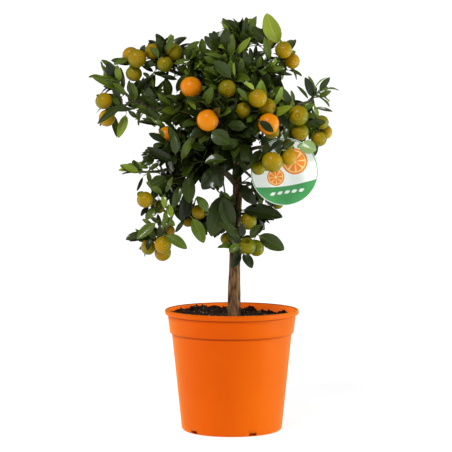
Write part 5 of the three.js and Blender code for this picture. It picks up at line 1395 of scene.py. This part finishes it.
def bough_shape(name):
    shares = np.linspace(0, 1, BOUGH.rows)
    middle, radii = limb_line(LIMBS[name], shares)
    profile = np.ones((BOUGH.rows, BOUGH.sides))
    for row in range(BOUGH.rows):
        for k, angle in enumerate(angles_round(BOUGH.sides)):
            at = Vector((math.cos(angle), math.sin(angle), middle[row].sum() * BOUGH.along))
            profile[row, k] += sum(depth * noise.noise(at * scale) for scale, depth in BOUGH.relief)
    collar = 1 + BOUGH.collar * np.exp(-shares / BOUGH.collar_share)
    return tube(middle, radii * collar, BOUGH.sides, profile)


# ---------------------------------------------------------------- pot and compost


def pot_profile():
    """The pot's section as (radius, height): out under its foot, up its outside, and down to its floor."""
    p = POT
    quarter = math.pi / 2
    rim_foot, collar = p.height - p.rim_height, p.collar_foot_height
    slope = (p.body_top - p.body_foot) / (collar - BODY_RUN - p.corner)
    # The section also has rings at the edges of the bands of painted shade under the collar and the rim.
    body_end = collar + BODY_STEP[0][1] - POT_SHADE_BAND.height
    shade_band_share = 1 - POT_SHADE_BAND.height / (rim_foot - collar)
    outside = [(0, POT_DISH.depth), (POT_DISH.radius, POT_DISH.depth), (POT_DISH.edge, 0)]
    outside += arc((p.body_foot - p.corner, p.corner), p.corner, -quarter, 0, POT_STEPS.corner)
    outside += [(p.body_foot + slope * (height - p.corner), height)
                for height in np.linspace(BODY_FROM, body_end, POT_STEPS.body)]
    outside += [(p.body_top + out, collar + up) for out, up in BODY_STEP]
    outside += [(p.collar_foot + out, collar + up) for out, up in COLLAR_STEP]
    outside += [(mix(p.collar_foot, p.collar_top, t), mix(collar, rim_foot, t))
                for t in sorted((*POT_STEPS.collar, shade_band_share))]
    outside += arc((p.rim - POT_BEAD, rim_foot + POT_BEAD), POT_BEAD, -quarter, 0, POT_STEPS.bead[0])
    outside += arc((p.rim - POT_BEAD, p.height - POT_BEAD), POT_BEAD, 0, quarter, POT_STEPS.bead[1])
    floor = p.floor + POT_DISH.depth
    inside = [(p.collar_top - within, p.height - down) for within, down in POT_LIP]
    inside += [(p.collar_top - p.wall, p.height - POT_INSIDE.top), (p.collar_foot - p.wall, collar),
               (p.body_top - p.wall, collar - POT_INSIDE.collar), (p.body_foot - p.wall, p.corner + p.floor),
               (p.body_foot - p.corner - POT_INSIDE.corner, floor), (0, floor)]
    return outside + inside


def turned(profile, segments):
    """Points and faces of a profile of (radius, height) turned round the pot's axis, ends on the axis."""
    points = [(0, 0, profile[0][1])]
    for radius, height in profile[1:-1]:
        points += [(x, y, height) for x, y in circle((0, 0), radius, segments)]
    points.append((0, 0, profile[-1][1]))
    return np.array(points, float), skin(len(profile) - 2, segments)


def pot_looks(points, faces):
    """A look for each face: 0 outside, 1 on the wall's inner side, made paler and glowing as painted
    light, and 2 in bands under the collar and the rim, darker as painted shade."""
    looks = []
    collar_foot, rim_foot = POT.collar_foot_height, POT.height - POT.rim_height
    for face in faces:
        x, y, z = points[list(face)].mean(axis=0)
        wall = mix(POT.collar_foot, POT.collar_top, (z - collar_foot) / (POT.height - collar_foot))
        if z > collar_foot and math.hypot(x, y) < wall - POT.wall / 2:
            looks.append(1)
        elif any(-POT_SHADE_BAND.height < z - foot < POT_SHADE_BAND.over for foot in (collar_foot, rim_foot)):
            looks.append(2)
        else:
            looks.append(0)
    return looks


def cut_notches(piece):
    """Cuts the drainage slots just above the foot of the pot."""
    cutters = []
    for turn in DRAIN.turn + angles_round(DRAIN.count):
        bpy.ops.mesh.primitive_cube_add(size=1)
        cutter = bpy.context.object
        cutter.scale = Vector((DRAIN.deep, DRAIN.wide, DRAIN.top - DRAIN.foot)) * MM
        cutter.location = Vector((POT.body_foot * math.cos(turn), POT.body_foot * math.sin(turn),
                                  (DRAIN.top + DRAIN.foot) / 2)) * MM
        cutter.rotation_euler = (0, 0, turn)
        bevel = cutter.modifiers.new("round", "BEVEL")
        bevel.width, bevel.segments = DRAIN.round * MM, 3
        cut = piece.modifiers.new("notch", "BOOLEAN")
        cut.operation, cut.solver, cut.object = "DIFFERENCE", "EXACT", cutter
        cutters.append(cutter)
    bpy.context.view_layer.update()
    evaluated = piece.evaluated_get(bpy.context.evaluated_depsgraph_get())
    mesh = bpy.data.meshes.new_from_object(evaluated)
    piece.modifiers.clear()
    piece.data = mesh
    for cutter in cutters:
        bpy.data.objects.remove(cutter)


def soil_height(x, y):
    """The same lumps as the solid's, with crumbs on them and heaps towards the wall."""
    radius = math.hypot(x, y)
    away = smooth(radius, SOIL.flat_radius, SOIL.flat_radius + SOIL_LOOK.slope)
    edge = smooth(radius, SOIL_LOOK.edge_from, POT.collar_foot)
    waves = SOIL_WAVES
    lump = math.sin(x * waves.x + waves.shift) * math.cos(y * waves.y)
    lump += waves.slant_rise * math.sin((x - y) * waves.slant)
    scale = SOIL_LOOK.crumb_scale
    fine = noise.fractal(Vector((x * scale, y * scale, SOIL_LOOK.crumb_slice)), 1.0, 2.0, SOIL_LOOK.octaves)
    heaps = sum(rise * math.exp(-((x - at_x) ** 2 + (y - at_y) ** 2) / spread**2)
                for at_x, at_y, rise, spread in HEAPS)
    level = mix(SOIL.level, SOIL_LOOK.edge_level, edge)
    return level + away * (SOIL.lump * lump + SOIL_LOOK.tilt * x) + heaps + SOIL_LOOK.crumbs * fine


def compost_shape():
    """The top of the compost, closed off inside the collar's foot."""
    outer = POT.collar_foot - SOIL_LOOK.gap
    points = [(0, 0, soil_height(0, 0))]
    for ring in range(1, SOIL_LOOK.rings + 1):
        flat = circle((0, 0), outer * ring / SOIL_LOOK.rings, SOIL_LOOK.sectors)
        points += [(x, y, soil_height(x, y)) for x, y in flat]
    foot = POT.collar_foot_height + SOIL_LOOK.depth
    points += [(x, y, foot) for x, y in circle((0, 0), outer - POT.wall, SOIL_LOOK.sectors)]
    points.append((0, 0, foot))
    return np.array(points, float), skin(SOIL_LOOK.rings + 1, SOIL_LOOK.sectors, downward=True)


def crumb_shapes():
    """Loose crumbs: six-cornered lumps scattered over the compost, and each face's kind."""
    random = np.random.default_rng(SEED + 1)
    corners = np.array([(1, 0, 0), (0, 1, 0), (-1, 0, 0), (0, -1, 0), (0, 0, 1), (0, 0, -1)], float)
    faces = [(0, 1, 4), (1, 2, 4), (2, 3, 4), (3, 0, 4), (1, 0, 5), (2, 1, 5), (3, 2, 5), (0, 3, 5)]
    trunk_at, trunk_room = CRUMBS.trunk
    shapes, looks = [], []
    for _ in range(CRUMBS.count):
        radius = (POT.collar_foot - CRUMBS.edge) * math.sqrt(random.uniform(CRUMBS.inmost, 1))
        angle = random.uniform(0, 2 * math.pi)
        x, y = radius * math.cos(angle), radius * math.sin(angle)
        if math.hypot(x - trunk_at, y) < trunk_room:
            continue
        size = mix(*CRUMBS.sizes, random.uniform() ** 3)
        shape = corners * size * random.uniform(*CRUMBS.corners, (6, 1)) * random.uniform(*CRUMBS.axes, 3)
        turn = random.uniform(0, math.pi)
        cos, sin = math.cos(turn), math.sin(turn)
        spun = shape @ np.array([(cos, sin, 0), (-sin, cos, 0), (0, 0, 1)])
        shapes.append((spun + (x, y, soil_height(x, y) + size * CRUMBS.rise), faces))
        looks += [int(random.choice(3, p=CRUMBS.kinds))] * len(faces)
    return shapes, looks


def fibre_shapes():
    """Bits of root and coir, lying on the compost."""
    random = np.random.default_rng(SEED + 2)
    shapes = []
    for _ in range(FIBRES.count):
        radius = FIBRES.within * math.sqrt(random.uniform(FIBRES.inmost, 1))
        angle = random.uniform(0, 2 * math.pi)
        a = np.array((radius * math.cos(angle), radius * math.sin(angle)))
        b = a + random.uniform(-FIBRES.reach, FIBRES.reach, 2)
        if max(np.hypot(*a), np.hypot(*b)) > POT.collar_foot - FIBRES.edge:
            continue
        offset = np.array((*random.uniform(-FIBRES.bend, FIBRES.bend, 2), 0))
        line = bent(np.array((*a, 0)), np.array((*b, 0)), offset, FIBRES.steps)
        line[:, 2] = [soil_height(x, y) + FIBRES.rise for x, y in line[:, :2]]
        shapes.append(tube(line, np.linspace(*FIBRES.radii, len(line)), FIBRES.sides))
    return shapes


# ---------------------------------------------------------------- tag


def tag_outline():
    """The outline of the card in its own plane: a disc with a small tab on top."""
    half = math.asin(TAG.tab / TAG.radius)
    top, side, corner = TAG.radius + TAG.tab_height, TAG.tab, CARD.tab_corner
    tab = [(side, top - corner), (side - corner, top), (corner - side, top), (-side, top - corner)]
    return arc((0, 0), TAG.radius, math.pi / 2 + half, math.pi / 2 - half + 2 * math.pi, CARD.steps) + tab


def plate(outline, front, thick):
    """A flat plate in the tag's plane, its front face this far in front of the tag's middle."""
    x, y, z = TAG.at
    count = len(outline)
    points = [(x + px, y - front + back, z + pz) for back in (0, thick) for px, pz in outline]
    faces = [tuple(range(count)), tuple(range(2 * count - 1, count - 1, -1))]
    faces += [(k, count + k, count + (k + 1) % count, (k + 1) % count) for k in range(count)]
    return np.array(points, float), faces


def band(inner, outer, centre, start, end, steps):
    """An outline between two arcs."""
    return arc(centre, outer, start, end, steps) + arc(centre, inner, end, start, steps)


def leaf_outline(base, length, width, turn):
    """A plain pointed leaf shape."""
    upper = [(length * t, width / 2 * math.sin(math.pi * t)) for t in np.linspace(0, 1, LEAF_PRINT_STEPS)]
    lower = [(along, -side) for along, side in upper[-2:0:-1]]
    return turned_flat(upper + lower, turn, base)


def wheel_print(centre, radius):
    """A cut citrus fruit: peel, flesh and wedges."""
    shapes = [(circle(centre, radius, WHEEL.steps), "orange", 1),
              (circle(centre, radius * WHEEL.flesh, WHEEL.steps), "flesh", 2)]
    inner, outer = (radius * share for share in WHEEL.wedge)
    wide = 2 * math.pi / WHEEL.wedges
    for start in angles_round(WHEEL.wedges):
        wedge = band(inner, outer, centre, start + WHEEL.gap, start + wide - WHEEL.gap, WHEEL.wedge_steps)
        shapes.append((wedge, "orange", 3))
    return shapes


def tag_print():
    """A generic design: citrus wheels and leaves over a plain green foot. (outline, colour, layer)"""
    edge = TAG.radius - INK.edge
    left, right = FOOT_PRINT.left, FOOT_PRINT.right
    foot = arc((0, 0), edge, left, right, FOOT_PRINT.steps[0])
    wave = [(x, foot[0][1] - FOOT_PRINT.wave * math.sin(math.pi * (x + edge) / (2 * edge)))
            for x in np.linspace(foot[-1][0], foot[0][0], FOOT_PRINT.steps[1])[1:-1]]
    ring = band(edge - RING_PRINT.width, edge, (0, 0), right - 2 * math.pi, left, RING_PRINT.steps)
    shapes = [(ring, "green", 1), (foot + wave, "green", 1)]
    for centre, radius in WHEEL_PRINTS:
        shapes += wheel_print(centre, radius)
    shapes += [(leaf_outline(*row), colour, 2) for *row, colour in LEAF_PRINTS]
    return [(turned_flat(outline, CARD.askew), colour, layer) for outline, colour, layer in shapes]


def tie_shape():
    """A thin loop through the tab and over the bough."""
    x, y, z = TAG.at
    middle, _ = limb_line(LIMBS[TIE.bough], np.linspace(0, 1, BOUGH_SAMPLES))
    hole = np.array((x, y, z + TAG.radius + TAG.hole_at))
    up = middle[np.abs(middle[:, 0] - x).argmin()] - hole
    length = norm(up) - TIE.bend
    up = unit(up)
    flat = np.array(circle((0, 0), TIE.bend, TIE.steps))
    flat[:, 1] += TIE.bend + np.where(flat[:, 1] > 0, length, 0)
    line = hole + flat[:, :1] * np.cross(up, (1, 0, 0)) + flat[:, 1:] * up
    along = np.roll(line, -1, axis=0) - np.roll(line, 1, axis=0)
    along /= norm(along, axis=1)[:, None]
    out = np.cross(along, (1, 0, 0))
    out /= norm(out, axis=1)[:, None]
    turns = angles_round(TIE.sides)
    points = (line[:, None] + out[:, None] * (TIE.radius * np.cos(turns))[:, None]
              + np.array((1, 0, 0)) * (TIE.radius * np.sin(turns))[:, None])
    corners = np.arange(TIE.steps * TIE.sides).reshape(TIE.steps, TIE.sides)
    beside = np.roll(corners, -1, axis=1)
    faces = np.stack([corners, beside, np.roll(beside, -1, axis=0), np.roll(corners, -1, axis=0)], axis=-1)
    return points.reshape(-1, 3), faces.reshape(-1, 4).tolist()


# ---------------------------------------------------------------- the whole


def grow_tree():
    for mass in masses:
        place_stem(mass)
    for mass in masses:
        grow_seen(mass)
        grow_fruit(mass)
        grow_outline(mass)
        grow_twigs(mass)


def part_of(mass):
    """The part of the crown whose leaves are joined in one piece."""
    x, y = mass.centre[:2]
    if y > BACK_FROM:
        return "back"
    return "left" if x < MIDDLE_PART[0] else "right" if x > MIDDLE_PART[1] else "middle"


def build_wood():
    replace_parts(make_piece("trunk_bark", *trunk_shape(), [bark_material], slot="bark"), "trunk")
    boughs = [name for name in LIMBS if name != "trunk"]
    shape = joined([bough_shape(name) for name in boughs])
    piece = make_piece("bough_bark", *shape, [bough_material], slot="bark")
    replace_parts(piece, *(f"bough_{name}" for name in boughs))


def build_crown():
    for part in ("left", "middle", "right", "back"):
        members = [mass for mass in masses if part_of(mass) == part]
        leaf_piece(f"leaves_{part}", [leaf for mass in members for leaf in mass.leaves],
                   [f"mass_{mass.name}" for mass in members])
    twigs = [twig for mass in masses for twig in mass.twigs]
    twigs += [Twig(*row, SHOOT_STEPS) for row in SHOOTS]
    shape = joined([twig.shape() for twig in twigs])
    make_piece("twigs", *shape, [twig_material], slot="foliage")


def build_fruit():
    shapes = [fruit_shape(fruit, index) for index, fruit in enumerate(fruits)]
    shape = joined([shape[:2] for shape in shapes])
    make_piece("fruit", *shape, fruit_materials, [step for *_, steps in shapes for step in steps], "fruit")
    shape = joined([calyx_shape(fruit) for fruit in fruits])
    make_piece("calyces", *shape, [calyx_material], slot="foliage")


def build_pot():
    points, faces = turned(pot_profile(), POT_SEGMENTS)
    pot = make_piece("pot_body", points, faces, pot_materials, pot_looks(points, faces), "pot_plastic")
    cut_notches(pot)
    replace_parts(pot, "pot")
    compost = make_piece("compost_surface", *compost_shape(), [compost_material], slot="compost")
    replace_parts(compost, "compost")
    shapes, looks = crumb_shapes()
    make_piece("compost_crumbs", *joined(shapes), crumb_materials, looks, "compost", flat=True)
    make_piece("compost_fibres", *joined(fibre_shapes()), [fibre_material], slot="compost")


def build_tag():
    card = plate(tag_outline(), TAG.thick / 2, TAG.thick)
    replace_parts(make_piece("tag_card", *card, [card_material], slot="tag_card", flat=True), "plant_tag")
    inks = list(INKS)
    shapes, looks = [], []
    for outline, colour, layer in tag_print():
        shape = plate(outline, TAG.thick / 2 + INK.lift * layer, INK.thick)
        shapes.append(shape)
        looks += [inks.index(colour)] * len(shape[1])
    make_piece("tag_print", *joined(shapes), ink_materials, looks, "tag_card", flat=True)
    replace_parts(make_piece("tie_loop", *tie_shape(), [tie_material], slot="tie_plastic"), "tag_tie")


def add_to_scene(name, data, place):
    thing = bpy.data.objects.new(name, data)
    bpy.context.scene.collection.objects.link(thing)
    thing.location = place
    return thing


def add_light(name, data, place, aim):
    light = add_to_scene(name, data, place)
    light.rotation_euler = (Vector(aim) - Vector(place)).to_track_quat("-Z", "Y").to_euler()


def build_floor():
    bpy.ops.mesh.primitive_plane_add(size=FLOOR.size, location=(0, 0, FLOOR.level))
    floor = bpy.context.object
    floor.name = "floor"
    floor.data.materials.append(plain("floor", FLOOR.colour, FLOOR.roughness, FLOOR.specular,
                                      Emission_Color=WHITE, Emission_Strength=FLOOR.glow))


def build_world():
    """White to look at, and dimmer as a light."""
    world = bpy.data.worlds.new("studio")
    bpy.context.scene.world = world
    world.use_nodes = True
    tree = world.node_tree
    seen = feed(tree, tree.nodes["Background"], Strength=WORLD.seen, Color=WHITE)
    lit = add_node(tree, "Background", Strength=WORLD.light, Color=WHITE)
    path = add_node(tree, "LightPath")
    both = add_node(tree, "MixShader", Fac=path.outputs["Is Camera Ray"])
    tree.links.new(lit.outputs["Background"], both.inputs[1])
    tree.links.new(seen.outputs["Background"], both.inputs[2])
    feed(tree, tree.nodes["World Output"], Surface=both.outputs["Shader"])


def build_lamps():
    sun = bpy.data.lights.new("sun", "SUN")
    sun.energy, sun.angle = SUN.strength, SUN.spread
    add_light("sun", sun, SUN.place, (0, 0, 0))
    for name, place, size, power, colour in LAMPS:
        lamp = bpy.data.lights.new(name, "AREA")
        lamp.size, lamp.energy, lamp.color = size, power, colour
        add_light(name, lamp, place, (0, 0, min(LAMP_AIM, place[2])))


def build_camera():
    data = bpy.data.cameras.new("camera")
    data.lens, data.sensor_width = FOCAL, SENSOR
    data.clip_start, data.clip_end = CLIP
    camera = add_to_scene("camera", data, EYE * MM)
    camera.rotation_euler = (math.pi / 2 - PITCH, 0, 0)
    bpy.context.scene.camera = camera


build_camera()
build_floor()
build_world()
build_lamps()
grow_tree()
build_wood()
build_crown()
build_fruit()
build_pot()
build_tag()
bpy.context.scene.view_settings.view_transform = "Standard"
